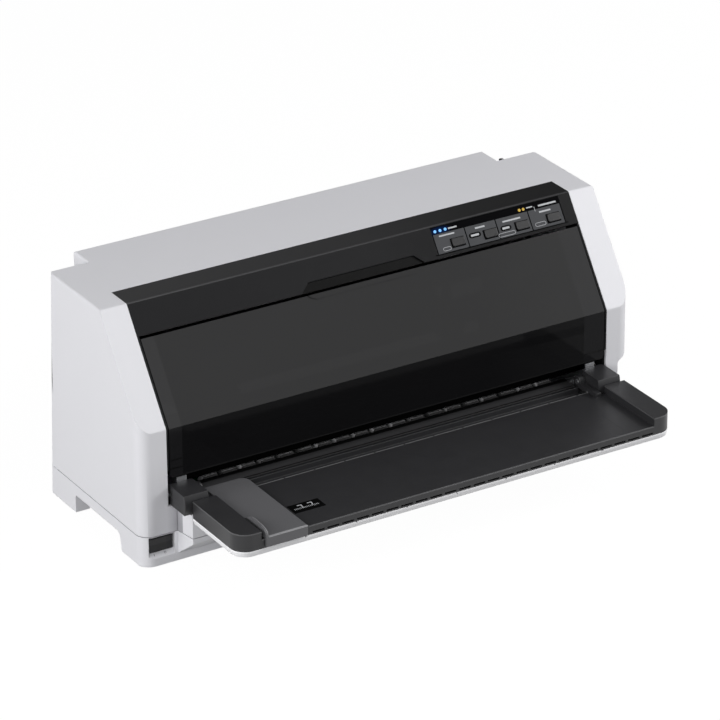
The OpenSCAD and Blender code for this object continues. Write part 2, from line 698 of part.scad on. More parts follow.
slots_x = [table_x0 + 68.5, table_x1 - 18.8];
slot_pitch = (slots_x[1] - slots_x[0]) / slot_count;
slot_gap = 2.7;
module table_top() color([0.17, 0.17, 0.175]) machine() {
    difference() {
        translate([0, 0, seam_z]) linear_extrude(arm_z - seam_z) table_outline();
        translate([0, 0, seam_z - 1]) linear_extrude(lip_h + 1 - table_t) table_outline(table_t);
        block([table_x0 + arm_w0, table_x1 - arm_w1], [-table_y - 1, 0], [paper_z, arm_z + 1]);
        block([table_x0 + 3, table_x0 + arm_w0 - 3], [-table_y + 9, -table_back - 3], [seam_z, arm_z - 3]);
        block([table_x1 - arm_w1 + 3, table_x1 - 3], [-table_y + 9, -table_back - 3], [seam_z, arm_z - 3]);
        for (i = [0 : slot_count - 1])
            block([slots_x[0] + slot_pitch * i, slots_x[0] + slot_pitch * (i + 1) - slot_gap],
                  [-table_y - 1, -table_y + 4], [seam_z + 1, seam_z + 2.7]);
    }
    block([-beam_x, beam_x], [-table_back - 1, -table_tail], [paper_z - table_t, paper_z]);
    mirrored() table_lug();
}

shell_draft = 0.8;                               // how far the pale shell's underside is set in
notch_pitch = 48;
notch_w = 1.6;
module table_shell() color("whitesmoke") machine() difference() {
    hull() {
        translate([0, 0, seam_z - 1.6]) linear_extrude(1.6) table_outline($fn = 32);
        translate([0, 0, shell_z]) linear_extrude(1) table_outline(shell_draft, $fn = 32);
    }
    translate([0, 0, shell_z + 2]) linear_extrude(big / 10) table_outline(3, $fn = 32);
    for (i = [-3 : 3]) translate([i * notch_pitch, 0, 0])
        block([-notch_w / 2, notch_w / 2], [-table_y - 1, -table_y + 2.5], [seam_z - 1.4, seam_z + 1]);
}

// Side view of the edge guide's finger wall, which rises along its left side towards the front
finger_wall = [[-64, 0], [-70, 3.5], [-76, 6.2], [-81, 7], [-93, 6.6], [-98, 5.6], [-101, 3.6], [-102, 1.5], [-102, 0]];
finger_wall_t = 2.2;
module edge_guide() color([0.33, 0.33, 0.335]) machine() {
    translate([0, 0, guide_z0]) linear_extrude(guide_t) polygon([[guide_x0, -guide_back], [guide_x0, -skirt_front],
        [guide_x1, -skirt_front], [guide_x1, -guide_back - 6], [guide_x1 - 2, -guide_back - 2],
        [guide_x1 - 6, -guide_back]]);
    along_x(guide_x0, guide_x0 + finger_wall_t) polygon([for (p = finger_wall)
        [p.x * table_y / 100, guide_z1 - eps + p.y * guide_lip / 7]]);
    block([guide_x0, guide_x1], [-skirt_front, -skirt_front + skirt_t], [skirt_z, guide_z0 + eps]);
}

// ---------- chassis ----------

frame_back = 145;                                // rear edge and top of the side frames
frame_top = 150;
module base_plate() color("silver") machine() difference() {
    block([-frame_x - frame_t - 1, frame_x + frame_t + 1], [8, frame_back + 2], [floor_top, floor_top + frame_t]);
    for (p = screw_at) translate([p[0], p[1], 0]) cylinder(h = big / 10, r = screw_r + fixed_fit);
}

frame_z0 = floor_top + frame_t;
frame_low_z = roller_z - 12;                     // underside of their arms for the tractors
frame_mouth_z = 74.8;                            // their height at the paper mouth
frame_neck = [22, 100];
frame_knee_y = 60;
front_rail_y = 66;
front_rail_z = rail_z + 18;
front_rail_t = 2;
module side_frame() difference() {
    union() {
        along_x(frame_x, frame_x + frame_t) polygon([[frame_front, frame_z0], [frame_back, frame_z0],
            [frame_back, frame_low_z], [tail_y, frame_low_z], [tail_y, roller_z + 9], [frame_back, roller_z + 9],
            [frame_back, frame_top], [frame_knee_y, frame_top], frame_neck, [frame_front, frame_mouth_z]]);
        block([frame_x - ear_w, frame_x], [frame_front, frame_front + frame_t], [paper_z + 2, frame_mouth_z]);
    }
    for (y = [front_roller_y, rear_roller_y, tractor_y])
        rod_x(frame_x - 1, frame_x + 4, y, roller_z, shaft_r + run_fit);
    rod_x(frame_x - 1, frame_x + 4, rail_y, rail_z, rail_r + fixed_fit);
    rod_x(frame_x - 1, frame_x + 4, guide_bar_y, roller_z, guide_bar_r + fixed_fit);
    rod_x(frame_x - 8, frame_x + 4, cover_pin_y, cover_pin_z, sweep_r);
}
module left_side_frame() color("silver") machine() mirror([1, 0, 0]) side_frame();

belt_y = rail_y + 23;
belt_z = rail_z - 4;
belt_w = 6;
motor_top = belt_z - 5;
pulley_x = frame_x - 19;
lever_pin = [rail_y + 35, rail_z + 12];
lever_pin_r = 3;
hub_r = 2.5;                                     // shafts of the pinion and of the belt pulleys
module right_side_frame() color("silver") machine() {
    difference() {
        side_frame();
        rod_x(frame_x - 1, frame_x + 4, knob_y, roller_z, shaft_r + run_fit);
        rod_x(frame_x - 1, frame_x + 4, pinion_y, pinion_z, hub_r);
    }
    rod_x(frame_x + frame_t, gear_x + gear_w + 0.3, idler_y, roller_z, idler_pin_r);
    rod_x(frame_x + frame_t, lever_x[1], lever_pin[0], lever_pin[1], lever_pin_r);
    block([pulley_x - 12, frame_x], [belt_y - 10, belt_y + 10], [motor_top, motor_top + frame_t]);
    translate([pulley_x, belt_y, motor_top + frame_t]) cylinder(h = belt_w + 5, r = hub_r);
}

upper_guide_y = [14, 35];
upper_guide_z = [paper_z + 2.5, paper_z + 6, paper_z + 16];
module upper_paper_guide() color([0.06, 0.06, 0.065]) machine() along_x(-frame_x, frame_x) polygon([
    [upper_guide_y[0], upper_guide_z[1]], [upper_guide_y[0] + 5, upper_guide_z[0]],
    [upper_guide_y[1] - 3, upper_guide_z[0]], [upper_guide_y[1], upper_guide_z[1]],
    [upper_guide_y[1], upper_guide_z[2]], [upper_guide_y[0] + 3, upper_guide_z[2]]]);

platen_y = [head_pin_y - 6, head_pin_y + 6];
platen_h = 12;
module platen_bar() color("dimgray") machine()
    along_x(-frame_x, frame_x) polygon([[platen_y[0], paper_z - platen_h], [platen_y[1], paper_z - platen_h],
        [platen_y[1], paper_z - 1.5], [platen_y[1] - 1.5, paper_z - 0.4],
        [platen_y[0] + 1.5, paper_z - 0.4], [platen_y[0], paper_z - 1.5]]);

module carriage_shaft() color("silver") machine()
    rod_x(-frame_x - frame_t - 1, frame_x + frame_t + 1, rail_y, rail_z, rail_r);

module front_rail() color("silver") machine() {
    block([-frame_x, frame_x], [front_rail_y, front_rail_y + 14], [front_rail_z, front_rail_z + front_rail_t]);
    block([-frame_x, frame_x], [front_rail_y, front_rail_y + front_rail_t],
          [front_rail_z + front_rail_t, front_rail_z + 12]);
}

// ---------- rollers and gears ----------

// Straight-sided spur gear in the Y-Z plane, its first tooth at angle a
function gear_points(teeth, a) =
    let (r = gear_m * teeth / 2, pitch = 360 / teeth, thick = 90 / teeth * 0.86,
         lean = gear_m * tan(20) / r * 180 / PI, tip = r + 0.9 * gear_m, root = r - 1.2 * gear_m)
    [for (i = [0 : teeth - 1]) let (c = a + i * pitch) each
        [for (q = [[root, -thick - 1.15 * lean], [r, -thick], [tip, -thick + 0.95 * lean],
                   [tip, thick - 0.95 * lean], [r, thick], [root, thick + 1.15 * lean]])
            q[0] * [cos(c + q[1]), sin(c + q[1])]]];
module gear(teeth, a, y, z) translate([0, y, z]) along_x(gear_x, gear_x + gear_w) polygon(gear_points(teeth, a));

module front_feed_shaft() color("silver") machine()
    rod_x(-frame_x - frame_t - 1, gear_x + gear_w + 1, front_roller_y, roller_z, shaft_r);

sleeve_pitch = 18.3;
sleeve_w = 13.2;
sleeve_n = floor((2 * roller_x - sleeve_w) / sleeve_pitch / 2);
module front_feed_sleeves() color("gray") machine() for (i = [-sleeve_n : sleeve_n]) difference() {
    rod_x(i * sleeve_pitch - sleeve_w / 2, i * sleeve_pitch + sleeve_w / 2, front_roller_y, roller_z, roller_r);
    rod_x(i * sleeve_pitch - sleeve_w, i * sleeve_pitch + sleeve_w, front_roller_y, roller_z, shaft_r + fixed_fit);
}

module bored_gear(teeth, a, y, bore) difference() {
    gear(teeth, a, y, roller_z);
    rod_x(gear_x - 1, gear_x + gear_w + 1, y, roller_z, bore);
}
module front_feed_gear() color("ivory") machine()
    bored_gear(roller_teeth, 180 / roller_teeth, front_roller_y, shaft_r + fixed_fit);
module rear_feed_gear() color("ivory") machine()
    bored_gear(roller_teeth, 180 / roller_teeth, rear_roller_y, shaft_r + fixed_fit);
module tractor_idler_gear() color("ivory") machine() bored_gear(idler_teeth, 0, idler_y, idler_pin_r + run_fit);

rear_ring_n = 4;                                 // rings on each side of the middle one
rear_ring_w = 28;
rear_ring_pitch = (roller_x - 22) / rear_ring_n;
module rear_feed_roller() color("gray") machine() {
    rod_x(-frame_x - frame_t - 1, gear_x + gear_w + 1, rear_roller_y, roller_z, shaft_r);
    for (i = [-rear_ring_n : rear_ring_n]) translate([i * rear_ring_pitch, 0, 0])
        rod_x(-rear_ring_w / 2, rear_ring_w / 2, rear_roller_y, roller_z, roller_r);
}

knob_x = [recess_x + 1.2, half_w - 0.6];
grip_n = 18;
module knob_gear() color("ivory") machine() {
    gear(knob_teeth, 0, knob_y, roller_z);
    rod_x(frame_x + 0.3, knob_x[0] + 3, knob_y, roller_z, shaft_r);
}
module feed_knob() color("dimgray") machine() difference() {
    rod_x(knob_x[0], knob_x[1], knob_y, roller_z, knob_r);
    rod_x(knob_x[0] - 1, knob_x[0] + 3.05, knob_y, roller_z, shaft_r + fixed_fit);
    for (i = [1 : grip_n]) rod_x(knob_x[0] - 1, knob_x[1] + 1, knob_y + (knob_r + 0.5) * cos(360 / grip_n * i),
        roller_z + (knob_r + 0.5) * sin(360 / grip_n * i), 1.2);
}

motor_r = 15;
motor_l = 19;
module feed_motor() color("gray") machine() difference() {
    rod_x(frame_x - motor_l, frame_x, pinion_y, pinion_z, motor_r);
    rod_x(frame_x - 6, frame_x + 1, pinion_y, pinion_z, hub_r);
}
module feed_pinion() color("goldenrod") machine() {
    gear(pinion_teeth, 180 + pinion_angle + 180 / pinion_teeth, pinion_y, pinion_z);
    rod_x(frame_x - 5, gear_x + gear_w + 1, pinion_y, pinion_z, hub_r - run_fit);
}

// ---------- carriage ----------

carriage_y = [rail_y - 11, rail_y + 11];
carriage_z = [rail_z - 12, rail_z + 11];
head_y = [head_pin_y - 9, carriage_y[0]];
head_z = rail_z - 14;
module carriage() color([0.1, 0.1, 0.1]) machine() translate([carriage_x, 0, 0]) difference() {
    union() {
        block([-carriage_w / 2, carriage_w / 2], carriage_y, carriage_z);
        block([-carriage_w / 2 + 8, carriage_w / 2 - 8], [front_rail_y + 2, carriage_y[0] + 1],
              [carriage_z[1] - 3, front_rail_z - 0.3]);
        block([-8, 8], [carriage_y[1] - 1, belt_y - pulley_r - 1.6], [belt_z - 4, belt_z + belt_w + 4]);
    }
    rod_x(-carriage_w, carriage_w, rail_y, rail_z, rail_r + run_fit);
}

module print_head() color("darkgray") machine() translate([carriage_x, 0, 0]) {
    block([-16, 16], head_y, [head_z, carriage_z[1] - 3.2]);
    for (i = [0 : 4]) translate([0, 0, head_z + 1 + 4 * i]) block([-20, 20], [head_y[0] + 1, head_y[1]], [0, 1.6]);
    translate([0, head_pin_y, head_z - 20]) cylinder(h = 20, r1 = 5, r2 = 9);
    translate([0, head_pin_y, paper_z + 0.8]) cylinder(h = head_z - 19 - paper_z, r = 3);
}

module stadium(r) {
    block2([-pulley_x, pulley_x], [-r, r]);
    for (x = [-pulley_x, pulley_x]) translate([x, 0]) circle(r);
}
module timing_belt() color([0.1, 0.1, 0.1]) machine() translate([0, belt_y, belt_z]) linear_extrude(belt_w)
    difference() { stadium(pulley_r + 1.25); stadium(pulley_r + 0.05); }

module pulley() {
    cylinder(h = belt_w, r = pulley_r);
    translate([0, 0, -0.8]) cylinder(h = 0.8, r = pulley_r + 2);
    translate([0, 0, belt_w]) cylinder(h = 0.8, r = pulley_r + 2);
}
module drive_pulley() color("goldenrod") machine() translate([-pulley_x, belt_y, belt_z]) {
    pulley();
    translate([0, 0, motor_top - belt_z - 3]) cylinder(h = belt_z - motor_top + 3, r = hub_r);
}
module idler_pulley() color("ivory") machine() translate([pulley_x, belt_y, belt_z]) difference() {
    pulley();
    translate([0, 0, -2]) cylinder(h = belt_w + 4, r = hub_r + run_fit);
}
module carriage_motor() color("gray") machine() translate([-pulley_x, belt_y, 0]) difference() {
    union() {
        translate([0, 0, motor_top - 28]) cylinder(h = 28, r = 17);
        block([pulley_x - frame_x, 20], [-20, 20], [motor_top, motor_top + frame_t]);
    }
    translate([0, 0, motor_top - 4]) cylinder(h = 10, r = hub_r + run_fit);
}

cart_x = frame_x - 31;
cart_y = [30, 57];
cart_z = [84, 104];
ribbon_knob_at = [-cart_x + 32, 44];
ribbon_knob_r = 9;
module ribbon_cartridge() color([0.09, 0.09, 0.1]) machine() difference() {
    union() {
        block([-cart_x, cart_x], cart_y, cart_z);
        block([-frame_x, frame_x], [36, 50], [89, 98]);
    }
    translate([ribbon_knob_at.x, ribbon_knob_at.y, cart_z[1] - 4]) cylinder(h = 5, r = 3 + run_fit);
}
module ribbon_knob() color("dimgray") machine() translate([ribbon_knob_at.x, ribbon_knob_at.y, cart_z[1]]) {
    translate([0, 0, -3.8]) cylinder(h = 4, r = 3);
    translate([0, 0, 0.1]) difference() {
        cylinder(h = 5, r = ribbon_knob_r);
        for (i = [0 : 11]) rotate([0, 0, 30 * i]) translate([ribbon_knob_r + 0.4, 0, -1]) cylinder(h = 7, r = 1.3);
    }
}

// ---------- electronics ----------

board_z = 28;
board_t = 1.6;
module board(x, y) {
    block(x, y, [board_z, board_z + board_t]);
    for (px = [x[0] + 5, x[1] - 5], py = [y[0] + 5, y[1] - 5])
        translate([px, py, frame_z0]) cylinder(h = board_z - frame_z0 + eps, r = 3);
}
main_x = [-60, half_w - 50];
main_y = [40, frame_back + 1];
power_x = [-half_w + 45, -80];
power_y = [40, frame_back - 5];
chips = [[0, 60], [60, 50]];
chip_w = 28;
cap_r = 4;
transformer_w = 40;
module main_board() color("darkgreen") machine() {
    board(main_x, main_y);
    for (c = chips) block([c.x, c.x + chip_w], [c.y, c.y + chip_w], [board_z, board_z + 5]);
    for (i = [0 : 4]) translate([main_x[1] - 90 + 15 * i, 100, board_z]) cylinder(h = 10, r = cap_r);
}
module power_board() color("olive") machine() {
    board(power_x, power_y);
    translate([power_x[0] + 15, power_y[0] + 15, board_z]) cube([transformer_w, transformer_w, 16]);
    for (i = [0 : 2]) translate([power_x[1] - 40 + 14 * i, power_y[0] + 20, board_z]) cylinder(h = 15, r = cap_r + 2);
}
inlet_y = rear_y(inlet_z[0]) + 0.1;
inlet_flange = 3.2;
inlet_rim = 5;
module power_inlet() color([0.08, 0.08, 0.08]) machine() difference() {
    union() {
        along_x(inlet_x[0], inlet_x[1]) polygon([[inlet_y, inlet_z[0]], [inlet_y + 2.5, inlet_z[0]],
            [inlet_y + 2.5, inlet_z[1]], [rear_y(inlet_z[1]) + 0.1, inlet_z[1]]]);
        block([inlet_x[0] + inlet_flange, inlet_x[1] - inlet_flange], [inlet_y - 26, inlet_y + 1],
              [inlet_z[0] + inlet_flange, inlet_z[1] - inlet_flange]);
    }
    block([inlet_x[0] + inlet_rim, inlet_x[1] - inlet_rim], [inlet_y - 18, inlet_y + 3],
          [inlet_z[0] + inlet_rim, inlet_z[1] - inlet_rim]);
}
module interface_ports() color("silver") machine() for (p = port_x) difference() {
    block(p, [inlet_y - 24, inlet_y + 2], port_z);
    block([p[0] + port_rim, p[1] - port_rim], [inlet_y - 10, inlet_y + 3], [port_z[0] + port_rim, port_z[1] - port_rim]);
}

// ---------- tractors ----------

module tractor_drive_shaft() color("silver") machine() {
    rod_x(-frame_x - frame_t - 1, gear_x + eps, tractor_y, roller_z, shaft_r);
    gear(roller_teeth, 180 / roller_teeth, tractor_y, roller_z);
}
module tractor_guide_bar() color("silver") machine()
    rod_x(-frame_x - frame_t - 1, frame_x + frame_t + 1, guide_bar_y, roller_z, guide_bar_r);

tractor_span = [tractor_y - 13, tail_y];
sprocket_r = 7.4;
pin_tip = 9.6;
pin_n = 8;
flap_z = paper_z + 1.2;
flap_t = 2;
flap_pin_r = 1.2;
// A tractor at x, with its flap's pivot on side s
module tractor(x, s) {
    pivot = x + s * (tractor_w / 2 + 2);
    difference() {
        union() {
            block([x - tractor_w / 2, x + tractor_w / 2], tractor_span, [roller_z - 8, paper_z - 0.8]);
            for (y = [tractor_span[0], tractor_span[1] - 4])
                translate([pivot, y, flap_z]) rotate([-90, 0, 0]) cylinder(h = 4, r = 3);
            for (y = [tractor_span[0], tractor_span[1] - 4])
                block([min(x, pivot), max(x, pivot)], [y, y + 4], [roller_z - 2, paper_z - 0.8]);
        }
        rod_x(x - tractor_w, x + tractor_w, tractor_y, roller_z, shaft_r + run_fit);
        rod_x(x - tractor_w, x + tractor_w, guide_bar_y, roller_z, guide_bar_r + run_fit);
        rod_x(x - 3.4, x + 3.4, tractor_y, roller_z, pin_tip + 0.6);
        translate([pivot, tractor_span[0] - 1, flap_z]) rotate([-90, 0, 0]) cylinder(h = 60, r = flap_pin_r + run_fit);
    }
}
module tractor_flap(x, s) {
    pivot = x + s * (tractor_w / 2 + 2);
    y = [tractor_span[0] + 4.3, tractor_span[1] - 4.3];
    edge = x - s * tractor_w / 2;
    difference() {
        union() {
            block([min(pivot, edge), max(pivot, edge)], y, [flap_z - flap_t / 2, flap_z + flap_t / 2]);
            translate([pivot, y[0], flap_z]) rotate([-90, 0, 0]) cylinder(h = y[1] - y[0], r = 2.4);
        }
        block([x - 3, x + 3], [tractor_y - 9, tractor_y + 9], [flap_z - 3, flap_z + 3]);
    }
    translate([pivot, tractor_span[0] + 0.4, flap_z]) rotate([-90, 0, 0])
        cylinder(h = tractor_span[1] - tractor_span[0] - 0.8, r = flap_pin_r);
}
module sprocket(x) difference() {
    union() {
        rod_x(x - 2.6, x + 2.6, tractor_y, roller_z, sprocket_r);
        for (i = [0 : pin_n - 1]) translate([x, tractor_y, roller_z]) rotate([360 / pin_n * (i + 0.5), 0, 0])
            translate([0, 0, sprocket_r - 1]) cylinder(h = pin_tip - sprocket_r + 1, r1 = 1.4, r2 = 0.9);
    }
    rod_x(x - 4, x + 4, tractor_y, roller_z, shaft_r + run_fit);
}
module left_tractor() color([0.15, 0.15, 0.16]) machine() tractor(-tractor_x, -1);
module right_tractor() color([0.15, 0.15, 0.16]) machine() tractor(tractor_x, 1);
module left_tractor_flap() color([0.3, 0.3, 0.32]) machine() tractor_flap(-tractor_x, -1);
module right_tractor_flap() color([0.3, 0.3, 0.32]) machine() tractor_flap(tractor_x, 1);
module left_tractor_sprocket() color("ivory") machine() sprocket(-tractor_x);
module right_tractor_sprocket() color("ivory") machine() sprocket(tractor_x);

// ---------- rear guide and lever ----------

window_n = 2;                                    // windows on each side of the middle one
window_w = 36;
window_pitch = (rear_guide_x - 38) / window_n;
module rear_paper_guide() color([0.16, 0.16, 0.17]) machine()
    translate([0, rear_pin_y, rear_pin_z]) rotate([rear_guide_a, 0, 0]) {
    difference() {
        block([-rear_guide_x, rear_guide_x], [0, rear_guide_l], [-guide_sheet / 2, guide_sheet / 2]);
        for (i = [-window_n : window_n]) translate([i * window_pitch, 0, 0])
            block([-window_w / 2, window_w / 2], [30, rear_guide_l - 20], [-5, 5]);
    }
    mirrored() block([rear_guide_x - 2.5, rear_guide_x], [4, rear_guide_l], [0, 8]);
    for (i = [-window_n - 0.5 : window_n + 0.5]) translate([i * window_pitch, 0, 0])
        block([-1, 1], [8, rear_guide_l], [0, 4]);
    mirrored() rod_x(rear_guide_x - 10, ear_x + 5.8, 0, 0, rear_pin_r);
    mirrored() rod_x(rear_guide_x - 10, rear_guide_x, 0, 0, 3.2);
}

lever_tip = [shoulder_y + 8.5, body_h - 4];
module release_lever() color([0.1, 0.1, 0.1]) machine() difference() {
    union() {
        along_x(lever_x[0], lever_x[1]) polygon([lever_pin + [-4, -4], lever_pin + [4, -4], lever_tip + [-14, -21.5],
            lever_tip + [-3, -14.5], lever_tip + [1.5, -7.5], lever_tip + [1.5, 0], lever_tip + [-1.5, 0],
            lever_tip + [-3, -7.5], lever_tip + [-22, -17.5]]);
        rod_x(lever_x[0], lever_x[1], lever_pin[0], lever_pin[1], 7);
    }
    rod_x(lever_x[0] - 1, lever_x[1] + 1, lever_pin[0], lever_pin[1], lever_pin_r + run_fit);
}

lower_case();
upper_case();
top_trim();
panel_plate();
panel_lights();
panel_board();
button_1();
button_2();
button_3();
button_4();
front_cover();
cover_pins();
front_paper_guide();
hinge_blocks();
table_pins();
table_top();
table_shell();
edge_guide();
power_rocker();
rubber_feet();
base_plate();
left_side_frame();
right_side_frame();
upper_paper_guide();
front_feed_shaft();
front_feed_sleeves();
front_feed_gear();
rear_feed_roller();
rear_feed_gear();
knob_gear();
feed_knob();
feed_motor();
feed_pinion();
platen_bar();
carriage_shaft();
front_rail();
carriage();
print_head();
carriage_motor();
drive_pulley();
idler_pulley();
timing_belt();
ribbon_cartridge();
ribbon_knob();
main_board();
power_board();
power_inlet();
interface_ports();
case_screws();
tractor_idler_gear();
tractor_drive_shaft();
tractor_guide_bar();
left_tractor();
left_tractor_flap();
left_tractor_sprocket();
right_tractor();
right_tractor_flap();
right_tractor_sprocket();
rear_paper_guide();
release_lever();
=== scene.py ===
"""Looks of a flatbed dot matrix printer: moulded plastics, a smoked cover, its printed marks and a studio.

Everything is in metres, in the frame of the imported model. Lengths named in millimetres are turned into
metres by MM where they are used.
"""

import math

import bpy
import numpy as np
from mathutils import Matrix, Vector

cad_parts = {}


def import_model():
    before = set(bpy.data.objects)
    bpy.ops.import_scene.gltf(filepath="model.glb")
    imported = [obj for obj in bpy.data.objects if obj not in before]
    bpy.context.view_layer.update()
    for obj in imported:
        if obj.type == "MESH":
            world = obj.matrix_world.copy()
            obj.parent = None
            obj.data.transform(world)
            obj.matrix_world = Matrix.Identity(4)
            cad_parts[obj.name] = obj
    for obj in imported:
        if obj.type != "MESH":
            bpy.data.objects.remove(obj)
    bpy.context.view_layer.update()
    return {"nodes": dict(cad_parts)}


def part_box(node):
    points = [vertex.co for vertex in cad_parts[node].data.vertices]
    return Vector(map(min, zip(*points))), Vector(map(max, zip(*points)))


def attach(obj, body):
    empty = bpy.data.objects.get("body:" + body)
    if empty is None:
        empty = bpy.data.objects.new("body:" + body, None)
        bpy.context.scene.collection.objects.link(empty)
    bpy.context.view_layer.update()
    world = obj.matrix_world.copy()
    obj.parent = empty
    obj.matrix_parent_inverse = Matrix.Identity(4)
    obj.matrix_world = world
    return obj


MM = 0.001

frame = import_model()

# ---------- places taken from the frame ----------

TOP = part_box("upper_case")[1].z                  # the case's top
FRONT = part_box("front_cover")[0].y               # front face of the pillars and of the cover
SLOPE_RUN = 61.5 * MM                            # depth of the slope in plan
FOLD = 122 * MM                                  # height of the fold between front and slope
SLOPE_ANGLE = math.atan2(TOP - FOLD, SLOPE_RUN)
PAPER_TOP = 58 * MM                              # surface of the paper table
CHIN_TOP = 50.2 * MM                             # just over the chin's and the table shell's top
GUIDE_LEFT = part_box("edge_guide")[0].x           # left side of the edge guide


# ---------- shader expressions ----------


class Value:
    """A number in a material. Arithmetic on it adds the Math nodes that work it out."""

    def __init__(self, finish, socket):
        self.finish = finish
        self.socket = socket

    def math(self, operation, *others):
        inputs = {i: v for i, v in enumerate((self, *others))}
        return self.finish.add("ShaderNodeMath", {"operation": operation}, inputs)

    def __add__(self, other):
        return self.math("ADD", other)

    def __sub__(self, other):
        return self.math("SUBTRACT", other)

    def __rsub__(self, other):
        return (self * -1.0) + other

    def __mul__(self, other):
        return self.math("MULTIPLY", other)

    def __truediv__(self, other):
        return self.math("DIVIDE", other)

    def __pow__(self, other):
        return self.math("POWER", other)

    __radd__ = __add__
    __rmul__ = __mul__

    def above(self, other):
        return self.math("GREATER_THAN", other)

    def below(self, other):
        return self.math("LESS_THAN", other)

    def between(self, low, high):
        return self.above(low) * self.below(high)

    def near(self, middle, reach):
        return (self - middle).size().below(reach)

    def size(self):
        return self.math("ABSOLUTE")

    def clip(self):
        return (self * 1.0).math("MAXIMUM", 0.0).math("MINIMUM", 1.0)


class Finish:
    """One material: a Principled surface and the nodes that vary it over a piece."""

    def __init__(self, name, colour, roughness, **constants):
        self.material = bpy.data.materials.new(name)
        self.material.use_nodes = True
        self.tree = self.material.node_tree
        self.surface = self.tree.nodes["Principled BSDF"]
        self.surface.inputs["Base Color"].default_value = (*colour, 1.0)
        self.surface.inputs["Roughness"].default_value = roughness
        for socket, value in constants.items():
            self.surface.inputs[socket.replace("_", " ")].default_value = value
        self.colour = colour

    def add(self, kind, settings=None, inputs=None, output=0):
        """Adds a node, makes its settings, then fills its sockets with numbers, colours or values."""
        made = self.tree.nodes.new(kind)
        for key, value in (settings or {}).items():
            setattr(made, key, value)
        for key, value in (inputs or {}).items():
            if isinstance(value, Value):
                self.tree.links.new(value.socket, made.inputs[key])
            else:
                made.inputs[key].default_value = value
        return Value(self, made.outputs[output])

    def feed(self, socket, value):
        self.tree.links.new(value.socket, self.surface.inputs[socket])

    def place(self):
        """Object coordinates, in metres."""
        return self.add("ShaderNodeTexCoord", output="Object")

    def axes(self):
        split = self.add("ShaderNodeSeparateXYZ", None, {0: self.place()})
        outputs = split.socket.node.outputs
        return [Value(self, outputs[i]) for i in range(3)]

    def noise(self, scale, detail=2.0, stretch=(1, 1, 1)):
        spot = self.place()
        if tuple(stretch) != (1, 1, 1):
            spot = self.add("ShaderNodeMapping", None, {"Vector": spot, "Scale": stretch})
        return self.add("ShaderNodeTexNoise", None, {"Vector": spot, "Scale": scale, "Detail": detail})

    def tint(self, mask, colour, base=None):
        """Mixes colour over base where mask is 1, and makes the result the base colour."""
        under = base if base is not None else (*self.colour, 1.0)
        over = colour if isinstance(colour, Value) else (*colour, 1.0)
        settings = {"data_type": "RGBA", "blend_type": "MIX"}
        self.shown = self.add("ShaderNodeMix", settings, {0: mask, 6: under, 7: over}, output=2)
        self.feed("Base Color", self.shown)
        return self.shown

    def mark(self, mask, colour):
        """Lays colour over whatever the base colour shows so far, where mask is 1."""
        return self.tint(mask, colour, self.shown)

    def relief(self, height, depth, edge):
        """Bumps of the given depth on a surface whose edges look rounded by the radius edge."""
        rounded = self.add("ShaderNodeBevel", {"samples": 6}, {"Radius": edge})
        inputs = {"Height": height, "Distance": depth, "Strength": 1.0, "Normal": rounded}
        self.feed("Normal", self.add("ShaderNodeBump", None, inputs))


def shade(colour, factor):
    return tuple(c * factor for c in colour)


# ---------- finishes ----------


def moulded(name, colour, roughness=0.5, grain=0.45, depth=0.012, edge=0.7, spread=0.05, **constants):
    """Injection-moulded plastic: spark-eroded grain, slow drift of tone and gloss, softened edges.

    grain is the texture's size and depth its height, both in millimetres, and spread is how far the tone
    drifts."""
    finish = Finish(name, colour, roughness, **constants)
    fine = finish.noise(1 / (grain * MM), 3.0)
    slow = finish.noise(9.0, 2.0)
    middle = finish.noise(70.0, 3.0)
    tone = (slow * 0.7 + fine * 0.3 - 0.35).clip()
    finish.tint(tone, shade(colour, 1 + spread), (*shade(colour, 1 - spread), 1.0))
    finish.feed("Roughness", (middle - 0.5) * 0.12 + (fine - 0.5) * 0.1 + roughness)
    finish.relief(fine, depth * MM, edge * MM)
    return finish


def case_plastic():
    """Pale case plastic, with a dark line at its seam and painted shade in its hollows.

    The left pillar has painted shade low down beside the chin, a line follows the seam, and the chin's top is
    painted dark as shade. So is a band of the rear wall, for the shaded gap over the cover, which shows on
    the outside at the rear too. The front of the table's shell is the palest."""
    finish = moulded("case_plastic", (0.80, 0.80, 0.835), 0.46, 0.5, 0.010, 0.8, 0.012)
    x, y, z = finish.axes()
    back = y - FRONT
    pillar = back.below(1.5 * MM) * z.between(27.4 * MM, 200 * MM) * x.below(-206 * MM)
    low = ((95 * MM - z) / (60 * MM)).clip()
    edge = ((x + 217 * MM) / (10 * MM)).clip()
    seam = z.between(27.35 * MM, 28.05 * MM) * back.below(150 * MM)
    chin_top_shade = z.between(49 * MM, CHIN_TOP) * x.size().below(206 * MM) * back.between(-19 * MM, 40 * MM)
    shell_front = z.between(44 * MM, CHIN_TOP) * back.below(-24 * MM)
    rear_wall_shade = back.between(151.5 * MM, 156.5 * MM) * (2 - (z - 127 * MM).size() / (15 * MM)).clip()
    # painted shade: the left pillar darkens low down and towards its inner edge beside the chin
    finish.mark(pillar * low * (edge * 0.5 + 0.3), (0.30, 0.30, 0.325))
    finish.mark(seam, (0.45, 0.45, 0.48))
    # painted shade: the chin's top under the paper path is darkened nearly to black
    finish.mark(chin_top_shade, (0.05, 0.05, 0.052))
    finish.mark(shell_front, (0.97, 0.97, 0.99))
    # painted shade: a dark band on the rear wall for the shaded gap over the cover; it darkens the outside
    # too
    finish.mark(rear_wall_shade, (0.008, 0.008, 0.008))
    return finish


def slope_axes(y, z):
    """How far a place is down the slope, and how far out of it."""
    run, rise = math.cos(SLOPE_ANGLE), math.sin(SLOPE_ANGLE)
    back, up = y - (FRONT + SLOPE_RUN), z - TOP
    return back * -run + up * -rise, back * -rise + up * run


